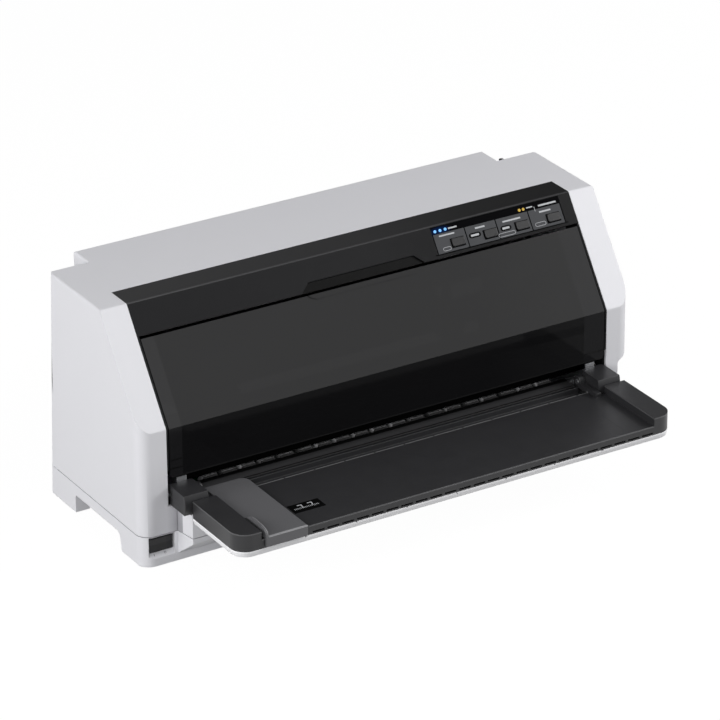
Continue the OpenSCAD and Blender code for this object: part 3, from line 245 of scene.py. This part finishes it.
def trim_plastic():
    """The black trim: its flat top is glossier, most of all on the left. A painted highlight runs along its
    upper edge, and it darkens towards the right as painted shade.

    The finger recess and the joint under the panel are painted dark as shade."""
    finish = moulded("trim_plastic", (0.016, 0.016, 0.0171), 0.34, 0.4, 0.008, 0.5, 0.12,
                     Specular_IOR_Level=0.08, Coat_Roughness=0.34)
    x, y, z = finish.axes()
    down, out = slope_axes(y, z)
    top = z.above(TOP - 0.6 * MM)
    right = ((x - 20 * MM) / (100 * MM)).clip()
    fold_highlight = down.near(0.0, 0.7 * MM) * z.above(TOP - 1.2 * MM)
    recess_shade = out.between(-2.4 * MM, -0.8 * MM) * x.size().below(62 * MM) * down.above(18 * MM)
    joint_shade = down.between(25 * MM, 25.9 * MM) * x.between(72 * MM, 206 * MM)
    finish.feed("Coat Weight", top * (0.46 - x * 1.75))
    # painted shade: the trim darkens towards the right
    finish.mark(right, (0.006, 0.006, 0.0065))
    # painted highlight along the upper edge, at the fold
    finish.mark(fold_highlight, (0.045, 0.045, 0.047))
    # painted shade in the finger recess
    finish.mark(recess_shade, (0.002, 0.002, 0.002))
    # painted shade: the gap under the panel is painted black, and made metallic so that it stays black
    finish.mark(joint_shade, (0.001, 0.001, 0.001))
    finish.feed("Metallic", joint_shade)
    return finish


def guide_black():
    """Black mouldings of the paper path: a painted highlight runs along their lip.

    The rest is dull, and the parts deep inside are painted black as shade.
    """
    finish = moulded("guide_black", (0.004, 0.004, 0.0043), 0.40, 0.5, 0.010, 0.4, 0.2,
                     Specular_IOR_Level=0.08)
    _, y, z = finish.axes()
    back = y - FRONT
    dark = z.above(60 * MM) * back.above(13 * MM)
    # painted highlight along the lip
    finish.mark(z.near(64 * MM, 0.4 * MM), (0.035, 0.035, 0.036))
    # painted shade: the parts deep inside are painted black, and made metallic so that they stay black
    finish.mark(dark, (0.001, 0.001, 0.001))
    finish.feed("Metallic", dark)
    return finish


def table_plastic():
    """The dark moulding of the table and the guide behind it: its edges carry painted highlights.

    Behind the table, under the cover's lower edge, it carries painted shade and painted light.
    """
    finish = moulded("table_plastic", (0.026, 0.026, 0.028), 0.36, 0.42, 0.010, 0.9, 0.12,
                     Specular_IOR_Level=0.45)
    x, y, z = finish.axes()
    out = (y - FRONT) * -1.0
    plate = z.near(PAPER_TOP, 0.8 * MM) * x.between(-185 * MM, 196 * MM)
    breaks = (x / (29 * MM)).math("FRACT").above(0.05)
    scratch = plate * x.near(171 * MM, 0.4 * MM) * out.between(59 * MM, 92 * MM)
    arm_edge_highlight = z.between(64.4 * MM, 65.47 * MM) * out.above(25.4 * MM)
    under_cover_shade = z.between(54 * MM, 58 * MM) * out.between(-19 * MM, -12.4 * MM)
    ledge = z.near(57.5 * MM, 0.3 * MM)
    # painted highlight, broken at intervals, along the plate's rear edge
    finish.mark(plate * out.near(16 * MM, 1.0 * MM) * breaks, (0.21, 0.21, 0.215))
    # painted highlight along the plate's front edge
    finish.mark(plate * out.above(99 * MM), (0.10, 0.10, 0.104))
    finish.mark(scratch, (0.012, 0.012, 0.013))
    # painted highlight along the arms' top edges
    finish.mark(arm_edge_highlight, (0.085, 0.085, 0.088))
    # painted shade: the guide behind the table, under the cover's lower edge, is painted near black
    finish.mark(under_cover_shade, (0.003, 0.003, 0.003))
    # painted light: the ledge behind the table is lightened where it lies in shade
    finish.mark(ledge * out.between(-12.4 * MM, -3.4 * MM), (0.05, 0.05, 0.052))
    # painted shade: the strip of the ledge nearest the table is darkened
    finish.mark(ledge * out.between(-3.3 * MM, 2 * MM), (0.004, 0.004, 0.004))
    return finish


def edge_guide_plastic():
    """The grey edge guide, with painted highlights along its front edge and its finger wall."""
    finish = moulded("edge_guide_plastic", (0.118, 0.118, 0.124), 0.4, 0.42, 0.010, 0.8, 0.06,
                     Specular_IOR_Level=0.45)
    x, y, z = finish.axes()
    rim = z.above(59.7 * MM) * z.below(60.6 * MM) * (y - FRONT).below(-100.6 * MM)
    # painted highlight along the front edge
    finish.mark(rim * x.above(GUIDE_LEFT + 2.6 * MM), (0.34, 0.34, 0.35))
    wall = z.between(61 * MM, 70 * MM) * x.near(GUIDE_LEFT + 1.9 * MM, 0.45 * MM)
    # painted highlight along the finger wall's edge
    finish.mark(wall, (0.22, 0.22, 0.228))
    return finish


def button_plastic():
    """Black keys with painted shade round their sides, and painted shade at the rocker's ends.

    The lever's tip is pale on its right half; its left half stays black as painted shade.
    """
    finish = moulded("button_plastic", (0.010, 0.010, 0.011), 0.35, 0.4, 0.004, 0.7, 0.15,
                     Specular_IOR_Level=0.3)
    x, y, z = finish.axes()
    _, out = slope_axes(y, z)
    ends = x.above(-217.2 * MM) + x.below(-232.2 * MM)
    rocker_end_shade = ends.clip() * z.below(30 * MM) * y.below(FRONT + 12 * MM)
    lever_tip = z.above(195 * MM) * x.above(210.8 * MM)
    # painted shade round the keys' sides
    finish.mark(out.between(-6 * MM, 1.0 * MM), (0.002, 0.002, 0.002))
    # painted shade at the rocker's ends
    finish.mark(rocker_end_shade, (0.004, 0.004, 0.006))
    # the tip's right half is pale; its left half stays black as painted shade
    finish.mark(lever_tip, (0.45, 0.45, 0.46))
    return finish


def smoked_plastic():
    """Clear plastic dyed nearly black, polished on the slope and dull below the fold.

    Painted light shows the lit inside faintly through it and makes its thicker side strips paler. Flow marks
    stay in the moulding, and a painted highlight runs along its lower edge. The bar that seems to lie behind
    it is left unlightened in its colour."""
    finish = Finish("smoked_plastic", (0.006, 0.006, 0.0065), 0.3, Specular_IOR_Level=0.0, Alpha=0.95,
                    Coat_Roughness=0.08)
    x, _, z = finish.axes()
    slow = finish.noise(5.0, 2.0, (1, 2.5, 2.5))
    wave = finish.noise(160.0, 2.0)
    strips = x.between(-212.6 * MM, -200.7 * MM) + x.between(192 * MM, 213 * MM)
    bar = (z + x * 0.03 - BAR_MIDDLE * MM).size().below(3.9 * MM) * x.below(191.5 * MM)
    inside_light = ((x - 95 * MM) / (80 * MM)).clip() * (1 - bar) * 0.8
    lines = z.near(85.2 * MM, 0.5 * MM) + z.near(92.7 * MM, 0.5 * MM) * x.below(0.0)
    lower_edge_highlight = z.below(78.3 * MM)
    slope = z.above(FOLD - 0.4 * MM)
    finish.tint(slow, (0.0085, 0.0085, 0.0093))
    # painted light: the lit inside shows faintly, paler towards the right, and is left out over the bar
    finish.mark(inside_light, (0.012, 0.012, 0.0125))
    # painted light: the side strips are painted paler for the light their flanges catch
    finish.mark(strips, (0.013, 0.013, 0.014))
    finish.mark(strips * lines, (0.004, 0.004, 0.004))
    # painted highlight along the cover's lower edge
    finish.mark(lower_edge_highlight, (0.014, 0.014, 0.0145))
    finish.feed("Coat Weight", slope * 0.9 + strips * 0.06 + 0.1)
    finish.feed("Roughness", (wave - 0.5) * 0.04 + (slow - 0.5) * 0.04 + 0.3)
    finish.relief(slow, 0.05 * MM, 0.6 * MM)
    return finish


def key_plate():
    """The panel: a black lamp window over grey key plates, with dark lines between the plates.

    Painted shade lies round the keys and on its sunken faces, and a painted pool of blue lamp light in the
    window.
    """
    grey = (0.084, 0.086, 0.091)
    finish = Finish("key_plate", grey, 0.5, Specular_IOR_Level=0.01)
    x, y, z = finish.axes()
    down, out = slope_axes(y, z)
    window = down.below(PLATE_WINDOW * MM)
    # painted shade: faces sunk below the plate and the openings round the keys are painted black with the
    # window
    dark = window + out.below(-0.6 * MM)
    for line, reach in zip(PLATE_LINES, (0.9, 0.55, 0.55, 0.55, 0.9)):
        dark = dark + x.near(line * MM, reach * MM)
    for key in KEYS:
        dark = dark + x.near((key - 0.3) * MM, 6.9 * MM) * down.near(18.5 * MM, 4.2 * MM)
    grain = finish.noise(1 / (0.4 * MM), 2.0)
    finish.tint(grain, shade(grey, 1.12), (*shade(grey, 0.9), 1.0))
    finish.mark(dark.clip(), (0.002, 0.002, 0.0025))
    glow = ((x - 83 * MM) / (12 * MM)) ** 2.0 + ((down - LAMP_DOWN * MM) / (4 * MM)) ** 2.0
    # painted light: a blue pool of lamp light round the left lamps, in the window
    finish.mark((1 - glow).clip() * window, (0.002, 0.014, 0.062))
    finish.feed("Roughness", 0.5 - window * 0.1)
    finish.relief(grain, 0.006 * MM, 0.4 * MM)
    return finish


def lamp():
    """Light pipes: blue ones at the panel's left, amber ones at its right."""
    finish = Finish("lamp", (0.2, 0.3, 0.5), 0.25, Emission_Strength=1.0)
    x, _, _ = finish.axes()
    amber = x.above(120 * MM)
    colour = finish.tint(amber, (0.30, 0.19, 0.016), (0.13, 0.35, 0.72, 1.0))
    haze = finish.noise(900.0, 2.0)
    settings = {"data_type": "RGBA", "blend_type": "MULTIPLY"}
    spots = finish.add("ShaderNodeMix", settings, {0: haze, 6: colour, 7: (0.75, 0.75, 0.75, 1)}, output=2)
    finish.feed("Emission Color", spots)
    return finish


def rubber(name="rubber", colour=(0.03, 0.03, 0.031), roughness=0.75):
    """Ground rubber: fine pits and a dusty drift of tone."""
    finish = Finish(name, colour, roughness, Specular_IOR_Level=0.3)
    pits = finish.noise(1 / (0.6 * MM), 3.0)
    dust = finish.noise(60.0, 3.0)
    finish.tint((dust * pits * 2).clip(), shade(colour, 1.7), (*shade(colour, 0.8), 1.0))
    finish.feed("Roughness", pits * 0.15 + (roughness - 0.08))
    finish.relief(pits, 0.02 * MM, 0.3 * MM)
    return finish


def sleeve_rubber():
    """Feed sleeves: dark rubber with painted highlights in grey bands, broken by darker gaps, and painted
    shade on their front side.
    """
    finish = Finish("sleeve_rubber", (0.2, 0.2, 0.205), 0.6, Specular_IOR_Level=0.4)
    x, y, _ = finish.axes()
    band = finish.add("ShaderNodeTexNoise", {"noise_dimensions": "1D"}, {"W": x * 330.0, "Detail": 2.0})
    breaks = ((band - 0.47) * 9).clip()
    # painted highlights: bright grey bands along the sleeves, with dark breaks
    finish.tint(breaks, (0.6, 0.6, 0.61), (0.06, 0.06, 0.061, 1.0))
    # painted shade on the sleeves' front side
    finish.mark((y - FRONT).below(20.4 * MM), (0.05, 0.05, 0.051))
    pits = finish.noise(1 / (0.5 * MM), 2.0)
    finish.feed("Roughness", pits * 0.2 + 0.5)
    finish.relief(pits, 0.02 * MM, 0.5 * MM)
    return finish


def plated_steel():
    """Zinc-plated sheet and ground rod: streaks along X, spangle and small scuffs."""
    finish = Finish("plated_steel", (0.62, 0.63, 0.65), 0.32, Metallic=1.0)
    streaks = finish.noise(900.0, 3.0, (0.03, 1, 1))
    spangle = finish.noise(120.0, 2.0)
    finish.tint(streaks, (0.70, 0.71, 0.73), (0.5, 0.51, 0.53, 1.0))
    finish.feed("Roughness", streaks * 0.18 + spangle * 0.12 + 0.2)
    finish.relief(streaks, 0.004 * MM, 0.2 * MM)
    return finish


def brass():
    finish = Finish("brass", (0.72, 0.52, 0.22), 0.3, Metallic=1.0)
    turned = finish.noise(700.0, 3.0)
    finish.tint(turned, (0.8, 0.6, 0.28), (0.6, 0.42, 0.16, 1.0))
    finish.feed("Roughness", turned * 0.2 + 0.2)
    finish.relief(turned, 0.004 * MM, 0.2 * MM)
    return finish


def cast_aluminium():
    finish = Finish("cast_aluminium", (0.32, 0.32, 0.33), 0.45, Metallic=0.9)
    sand = finish.noise(1 / (0.7 * MM), 3.0)
    finish.tint(sand, (0.4, 0.4, 0.41), (0.25, 0.25, 0.26, 1.0))
    finish.feed("Roughness", sand * 0.2 + 0.35)
    finish.relief(sand, 0.03 * MM, 0.3 * MM)
    return finish


def motor_lacquer():
    return moulded("motor_lacquer", (0.05, 0.05, 0.055), 0.38, 0.9, 0.01, 0.4, 0.2)


def nylon():
    return moulded("nylon", (0.74, 0.71, 0.60), 0.42, 0.8, 0.006, 0.2, 0.04)


def circuit_board():
    """Green solder mask over copper tracks, with pads in rows."""
    finish = Finish("circuit_board", (0.015, 0.12, 0.05), 0.35)
    x, y, _ = finish.axes()
    wave = finish.noise(180.0, 1.0)
    tracks = ((wave * 14).math("FRACT") - 0.5).size().below(0.14)
    columns = ((x * 394).math("FRACT") - 0.5).size().below(0.2)
    rows = ((y * 197).math("FRACT") - 0.5).size().below(0.1)
    pads = columns * rows
    board = finish.tint(tracks, (0.03, 0.2, 0.09))
    finish.tint(pads, (0.55, 0.55, 0.5), board)
    finish.feed("Roughness", 0.4 - pads * 0.15)
    finish.relief(tracks, 0.02 * MM, 0.1 * MM)
    return finish


def printed(name, colour, gloss=0.3):
    """Screen-printed ink: a thin film with slightly uneven cover."""
    finish = Finish(name, colour, 0.5, Specular_IOR_Level=gloss)
    cover = finish.noise(1 / (0.35 * MM), 2.0)
    finish.tint(cover, shade(colour, 1.1), (*shade(colour, 0.85), 1.0))
    finish.feed("Roughness", cover * 0.2 + 0.4)
    return finish


KEYS = (96.5, 129.3, 161.1, 193.1)               # middles of the keys
PLATE_WINDOW = 7.9                               # lower edge of the lamp window, down the slope
PLATE_LINES = (74.3, 106, 137, 170, 203.4)       # lines between and beside the key plates
LAMP_DOWN = 5.3                                  # row of lamps, down the slope
BAR_MIDDLE = 115.5                               # height of the bar that seems to lie behind the cover

CASE = case_plastic().material
TRIM = trim_plastic().material
BLACK = guide_black().material
TABLE = table_plastic().material
GUIDE = edge_guide_plastic().material
BUTTON = button_plastic().material
STEEL = plated_steel().material
NYLON = nylon().material
BRASS = brass().material
BOARD = circuit_board().material
MOTOR = motor_lacquer().material
RUBBER = rubber().material
ROLLER_RUBBER = rubber("roller_rubber", (0.07, 0.07, 0.072), 0.65).material

DRESS = {
    CASE: ["lower_case", "upper_case", "table_shell"],
    TRIM: ["top_trim"],
    key_plate().material: ["panel_plate"],
    lamp().material: ["panel_lights"],
    BOARD: ["panel_board", "main_board", "power_board"],
    BUTTON: ["button_1", "button_2", "button_3", "button_4", "power_rocker", "power_inlet", "release_lever"],
    smoked_plastic().material: ["front_cover"],
    STEEL: ["cover_pins", "table_pins", "base_plate", "left_side_frame", "right_side_frame", "platen_bar",
            "front_feed_shaft", "carriage_shaft", "front_rail", "case_screws", "tractor_drive_shaft",
            "tractor_guide_bar", "interface_ports"],
    BLACK: ["upper_paper_guide", "carriage", "ribbon_cartridge"],
    TABLE: ["front_paper_guide", "hinge_blocks", "table_top", "feed_knob", "left_tractor", "right_tractor",
            "rear_paper_guide"],
    GUIDE: ["edge_guide", "ribbon_knob", "left_tractor_flap", "right_tractor_flap"],
    RUBBER: ["rubber_feet", "timing_belt"],
    ROLLER_RUBBER: ["rear_feed_roller"],
    sleeve_rubber().material: ["front_feed_sleeves"],
    NYLON: ["front_feed_gear", "rear_feed_gear", "knob_gear", "idler_pulley", "tractor_idler_gear",
            "left_tractor_sprocket", "right_tractor_sprocket"],
    BRASS: ["feed_pinion", "drive_pulley"],
    MOTOR: ["feed_motor", "carriage_motor"],
    cast_aluminium().material: ["print_head"],
}

for material, names in DRESS.items():
    for name in names:
        mesh = frame["nodes"][name].data
        mesh.materials.clear()
        mesh.materials.append(material)


# ---------- new pieces ----------


def piece(name, points, faces, material, body):
    """A mesh at the origin from an array of points and lists of corners, riding on a body."""
    mesh = bpy.data.meshes.new(name)
    mesh.from_pydata(np.asarray(points, float).tolist(), [], faces)
    mesh.materials.append(material)
    mesh.update()
    made = bpy.data.objects.new(name, mesh)
    bpy.context.scene.collection.objects.link(made)
    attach(made, body)
    return made


def prisms(outlines, low, high):
    """Closed prisms: each outline (anticlockwise x, v pairs) carried from height low to height high.

    Returns the points as (x, v, w) and the faces: one floor, one lid and a wall per side."""
    points, faces, start = [], [], 0
    for outline in outlines:
        flat = np.asarray(outline, float)
        count = len(flat)
        for height in (low, high):
            points.append(np.column_stack([flat, np.full(count, height)]))
        ring = np.arange(count)
        after = np.roll(ring, -1)
        walls = np.stack([ring, after, after + count, ring + count], axis=1) + start
        faces += walls.tolist()
        faces.append((ring[::-1] + start).tolist())
        faces.append((ring + count + start).tolist())
        start += 2 * count
    return np.vstack(points), faces


def rings(outer, inner, low, high):
    """A closed ring between two outlines of equally many points, carried from height low to height high."""
    a, b = np.asarray(outer, float), np.asarray(inner, float)
    count = len(a)
    layers = [(a, low), (a, high), (b, high), (b, low)]
    points = np.vstack([np.column_stack([flat, np.full(count, height)]) for flat, height in layers])
    ring = np.arange(count)
    after = np.roll(ring, -1)
    faces = []
    for k in range(4):
        here, there = k * count, (k + 1) % 4 * count
        faces += np.stack([ring + here, after + here, after + there, ring + there], axis=1).tolist()
    return points, faces


def box_outline(x0, x1, v0, v1):
    return [(x0, v0), (x1, v0), (x1, v1), (x0, v1)]


def lozenge(x0, x1, v0, v1, steps=10):
    """A bar with half-round ends: two half circles joined by straight sides."""
    r = (v1 - v0) / 2
    t = np.linspace(-math.pi / 2, math.pi / 2, steps)
    right = np.column_stack([x1 - r + r * np.cos(t), v0 + r + r * np.sin(t)])
    left = np.column_stack([x0 + r - r * np.cos(t), v0 + r - r * np.sin(t)])
    return np.vstack([right, left])


def on_slope(points):
    """Turns (x, up the slope, out of it) in millimetres into places in the frame."""
    x, v, w = np.asarray(points, float).T * MM
    run, rise = math.cos(SLOPE_ANGLE), math.sin(SLOPE_ANGLE)
    return np.column_stack([x, FRONT + SLOPE_RUN + v * run - w * rise, TOP + v * rise + w * run])


def on_table(points):
    """Turns (x, y from the front face, height over the table) in millimetres into places in the frame."""
    x, y, w = np.asarray(points, float).T * MM
    return np.column_stack([x, FRONT + y, PAPER_TOP + w])


def on_ledge(points):
    """Turns (x, up the slanted ledge under the power rocker, out of it) in millimetres into places."""
    x, v, w = np.asarray(points, float).T * MM
    depth, rise = 4.5 / 6.8, 5.1 / 6.8
    return np.column_stack([x, FRONT + v * depth - w * rise, 7.5 * MM + v * rise + w * depth])


INK = printed("pale_ink", (0.50, 0.51, 0.53)).material
GREY_INK = printed("grey_ink", (0.22, 0.22, 0.23)).material
DARK_INK = printed("dark_ink", (0.002, 0.002, 0.002), 0.03).material
LABEL_LIFT = 0.08                                # thickness of a printed film, in millimetres


def panel_marks():
    """Plain bars beside the keys, in the places of words."""
    bars = [(91.0, 99.6, 5.9, 4.6), (80.3, 95.5, 10.7, 9.4), (116.0, 125.5, 11.6, 10.2),
            (143.5, 161.5, 12.2, 10.8), (181.0, 192.5, 11.8, 10.4), (169.8, 176.2, 5.4, 4.4),
            (181.8, 199.8, 6.3, 4.8), (177.4, 177.8, 9.6, 5.4)]
    outlines = [box_outline(x0, x1, -low, -high) for x0, x1, low, high in bars]
    points, faces = prisms(outlines, 0.0, LABEL_LIFT)
    piece("panel_bars", on_slope(points), faces, INK, "case")


def panel_frames():
    """Thin rounded frames round the second-function marks of three keys."""
    line = 0.35
    places = [(80.5, 88.5, 23.5, 20.3), (136.0, 153.0, 24.0, 20.7), (173.5, 184.5, 22.9, 19.5)]
    points, faces, start = [], [], 0
    for x0, x1, low, high in places:
        outer = lozenge(x0, x1, -low, -high)
        inner = lozenge(x0 + line, x1 - line, -low + line, -high - line)
        more, sides = rings(outer, inner, 0.0, LABEL_LIFT)
        points.append(more)
        faces += [[i + start for i in side] for side in sides]
        start += len(more)
    piece("panel_frames", on_slope(np.vstack(points)), faces, INK, "case")


def panel_windows():
    """Two small dark fields with a pale bar, left of the second and third key."""
    places = [(108.0, 120.0, 18.6, 14.2), (139.5, 150.5, 19.4, 14.9)]
    outlines = [lozenge(x0, x1, -low, -high, 6) for x0, x1, low, high in places]
    points, faces = prisms(outlines, 0.0, LABEL_LIFT)
    piece("panel_fields", on_slope(points), faces, DARK_INK, "case")
    bars = [box_outline(x0 + 2, x1 - 2, -low + 1.3, -high - 1.3) for x0, x1, low, high in places]
    points, faces = prisms(bars, LABEL_LIFT, LABEL_LIFT + 0.05)
    piece("panel_field_bars", on_slope(points), faces, INK, "case")


def scale_label():
    """A dark label on the paper table: a row of short ticks, and two marks of a bar and a slanted stroke."""
    x0, x1, y0, y1 = -139.7, -110.5, -75.8, -61.4
    points, faces = prisms([box_outline(x0, x1, y0, y1)], 0.0, LABEL_LIFT)
    piece("scale_label", on_table(points), faces, DARK_INK, "table")
    ticks = []
    for i in range(16):
        x = x0 + 3.4 + i * 1.45
        ticks.append(box_outline(x - 0.2, x + 0.2, y0 + 5.0, y0 + 7.2))
    for x in (x0 + 8.0, x0 + 17.5):
        ticks.append(box_outline(x, x + 4.2, y1 - 3.6, y1 - 2.7))
        ticks.append([(x + 2.6, y0 + 6.0), (x + 3.4, y0 + 6.0), (x + 4.2, y1 - 3.6), (x + 3.2, y1 - 3.6)])
    points, faces = prisms(ticks, LABEL_LIFT, LABEL_LIFT + 0.05)
    piece("scale_ticks", on_table(points), faces, INK, "table")


def switch_marks():
    """A bar and a circle on the ledge under the rocker: the usual on and off marks."""
    height, reach = 3.2, 1.0
    points, faces = prisms([box_outline(-228.8, -228.3, height - reach, height + reach)], 0.0, LABEL_LIFT)
    turn = np.linspace(0, 2 * math.pi, 25)[:-1]
    circle = np.column_stack([np.cos(turn), np.sin(turn)])
    spot = np.array((-218.4, height))
    ring, sides = rings(circle * reach + spot, circle * (reach - 0.35) + spot, 0.0, LABEL_LIFT)
    faces += [[i + len(points) for i in side] for side in sides]
    piece("switch_marks", on_ledge(np.vstack([points, ring])), faces, GREY_INK, "case")


def print_ribbon():
    """The inked ribbon: a thin band stretched along the front of the cartridge, past the print head's nose.

    Its height is constant and its path runs straight, then bows out by a bell-shaped hump at the head."""
    u = np.linspace(-1, 1, 121)
    head = (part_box("print_head")[0].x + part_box("print_head")[1].x) / 2
    x = u * 0.165
    cartridge_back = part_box("ribbon_cartridge")[1].y
    y = cartridge_back + 0.0012 + 0.0006 * np.exp(-(((x - head) / 0.03) ** 2))
    low, high = 86 * MM, 99 * MM
    thick = 0.0003
    rows = [(y, low), (y, high), (y + thick, high), (y + thick, low)]
    points = np.vstack([np.column_stack([x, line, np.full_like(x, z)]) for line, z in rows])
    n = len(x)
    steps = np.arange(n - 1)
    faces = []
    for k in range(4):
        here, there = k * n, (k + 1) % 4 * n
        faces += np.stack([steps + here, steps + here + 1, steps + there + 1, steps + there], axis=1).tolist()
    faces.append([0, n, 2 * n, 3 * n])
    faces.append([n - 1, 4 * n - 1, 3 * n - 1, 2 * n - 1])
    piece("print_ribbon", points, faces, DARK_INK, "case")


panel_marks()
panel_frames()
panel_windows()
scale_label()
switch_marks()
print_ribbon()


# ---------- studio ----------

CAMERA_AZIMUTH = math.radians(-31.07)
CAMERA_ELEVATION = math.radians(25.68)
CAMERA_ROLL = math.radians(-0.44)
CAMERA_DISTANCE = 3.32835
CAMERA_TARGET = Vector((-0.0898, FRONT - 0.09615, 0.19166))
CAMERA_LENS = 208.93


def camera():
    a, e = CAMERA_AZIMUTH, CAMERA_ELEVATION
    back = Vector((math.sin(a) * math.cos(e), -math.cos(a) * math.cos(e), math.sin(e)))
    right = (-back).cross(Vector((0, 0, 1))).normalized()
    up = right.cross(-back)
    c, s = math.cos(CAMERA_ROLL), math.sin(CAMERA_ROLL)
    turned_right, turned_up = right * c + up * s, up * c - right * s
    data = bpy.data.cameras.new("camera")
    data.sensor_width = 36.0
    data.lens = CAMERA_LENS
    data.clip_end = 50.0
    made = bpy.data.objects.new("camera", data)
    bpy.context.scene.collection.objects.link(made)
    turn = Matrix((turned_right, turned_up, back)).transposed().to_4x4()
    made.matrix_world = Matrix.Translation(CAMERA_TARGET + back * CAMERA_DISTANCE) @ turn
    bpy.context.scene.camera = made


def softbox(name, place, aim, width, height, power):
    data = bpy.data.lights.new(name, "AREA")
    data.shape = "RECTANGLE"
    data.size, data.size_y = width, height
    data.energy = power
    made = bpy.data.objects.new(name, data)
    bpy.context.scene.collection.objects.link(made)
    made.location = Vector(place)
    made.rotation_mode = "QUATERNION"
    made.rotation_quaternion = (Vector(aim) - Vector(place)).to_track_quat("-Z", "Y")


def seen_by(tree, *rays):
    """1 for the named kinds of ray, and 0 for all others."""
    path = tree.nodes.new("ShaderNodeLightPath")
    seen = path.outputs[rays[0]]
    for ray in rays[1:]:
        either = tree.nodes.new("ShaderNodeMath")
        either.operation = "MAXIMUM"
        tree.links.new(seen, either.inputs[0])
        tree.links.new(path.outputs[ray], either.inputs[1])
        seen = either.outputs[0]
    return seen


def world(front, back):
    """Plain white for the eye. Gloss sees a room that is bright before the object and dim behind it."""
    made = bpy.data.worlds.new("studio")
    made.use_nodes = True
    bpy.context.scene.world = made
    tree = made.node_tree
    background = tree.nodes["Background"]
    background.inputs["Color"].default_value = (1, 1, 1, 1)
    split = tree.nodes.new("ShaderNodeSeparateXYZ")
    tree.links.new(tree.nodes.new("ShaderNodeTexCoord").outputs["Generated"], split.inputs[0])
    room = tree.nodes.new("ShaderNodeMapRange")
    for socket, value in (("From Min", -0.3), ("From Max", 0.4), ("To Min", front), ("To Max", back)):
        room.inputs[socket].default_value = value
    tree.links.new(split.outputs["Y"], room.inputs["Value"])
    gloss = tree.nodes.new("ShaderNodeMath")
    gloss.operation = "MULTIPLY"
    tree.links.new(seen_by(tree, "Is Glossy Ray"), gloss.inputs[0])
    tree.links.new(room.outputs["Result"], gloss.inputs[1])
    both = tree.nodes.new("ShaderNodeMath")
    both.operation = "MAXIMUM"
    tree.links.new(seen_by(tree, "Is Camera Ray", "Is Transmission Ray"), both.inputs[0])
    tree.links.new(gloss.outputs[0], both.inputs[1])
    tree.links.new(both.outputs[0], background.inputs["Strength"])


def floor(share):
    """A grey floor. To the eye it is nearly plain white, and the rest of it keeps the object's shadow."""
    size = 12.0
    corners = [(-size, -size, 0), (size, -size, 0), (size, size, 0), (-size, size, 0)]
    mesh = bpy.data.meshes.new("floor")
    mesh.from_pydata([(x, y, -0.0004) for x, y, _ in corners], [], [(0, 1, 2, 3)])
    made = bpy.data.objects.new("floor", mesh)
    bpy.context.scene.collection.objects.link(made)
    material = bpy.data.materials.new("floor_white")
    material.use_nodes = True
    tree = material.node_tree
    surface = tree.nodes["Principled BSDF"]
    surface.inputs["Base Color"].default_value = (0.25, 0.25, 0.25, 1)
    surface.inputs["Roughness"].default_value = 0.9
    surface.inputs["Specular IOR Level"].default_value = 0.0
    glow = tree.nodes.new("ShaderNodeEmission")
    glow.inputs["Strength"].default_value = 1.15
    mix = tree.nodes.new("ShaderNodeMixShader")
    factor = tree.nodes.new("ShaderNodeMath")
    factor.operation = "MULTIPLY"
    factor.inputs[1].default_value = share
    tree.links.new(seen_by(tree, "Is Camera Ray", "Is Glossy Ray", "Is Transmission Ray"), factor.inputs[0])
    tree.links.new(factor.outputs[0], mix.inputs[0])
    tree.links.new(surface.outputs[0], mix.inputs[1])
    tree.links.new(glow.outputs[0], mix.inputs[2])
    tree.links.new(mix.outputs[0], tree.nodes["Material Output"].inputs["Surface"])
    mesh.materials.append(material)


camera()
world(0.85, 0.2)
floor(0.85)
LIGHTS = [
    ("left", (-2.2, 0.1, 0.8), 1.2, 1.0, 24.7),
    ("left_high", (-1.6, -0.2, 1.9), 1.2, 1.0, 5.0),
    ("right", (2.0, -0.9, 1.2), 1.2, 1.0, 40.8),
    ("front_left", (-1.5, -1.7, 0.9), 1.0, 1.0, 19.8),
    ("near", (0.0, -0.55, 0.95), 1.2, 0.25, 1.35),
    ("top", (0.0, 0.3, 2.4), 1.6, 1.2, 4.0),
]
for name, place, width, height, power in LIGHTS:
    softbox(name, place, (0, 0, 0.1), width, height, power)
bpy.context.scene.view_settings.view_transform = "Standard"
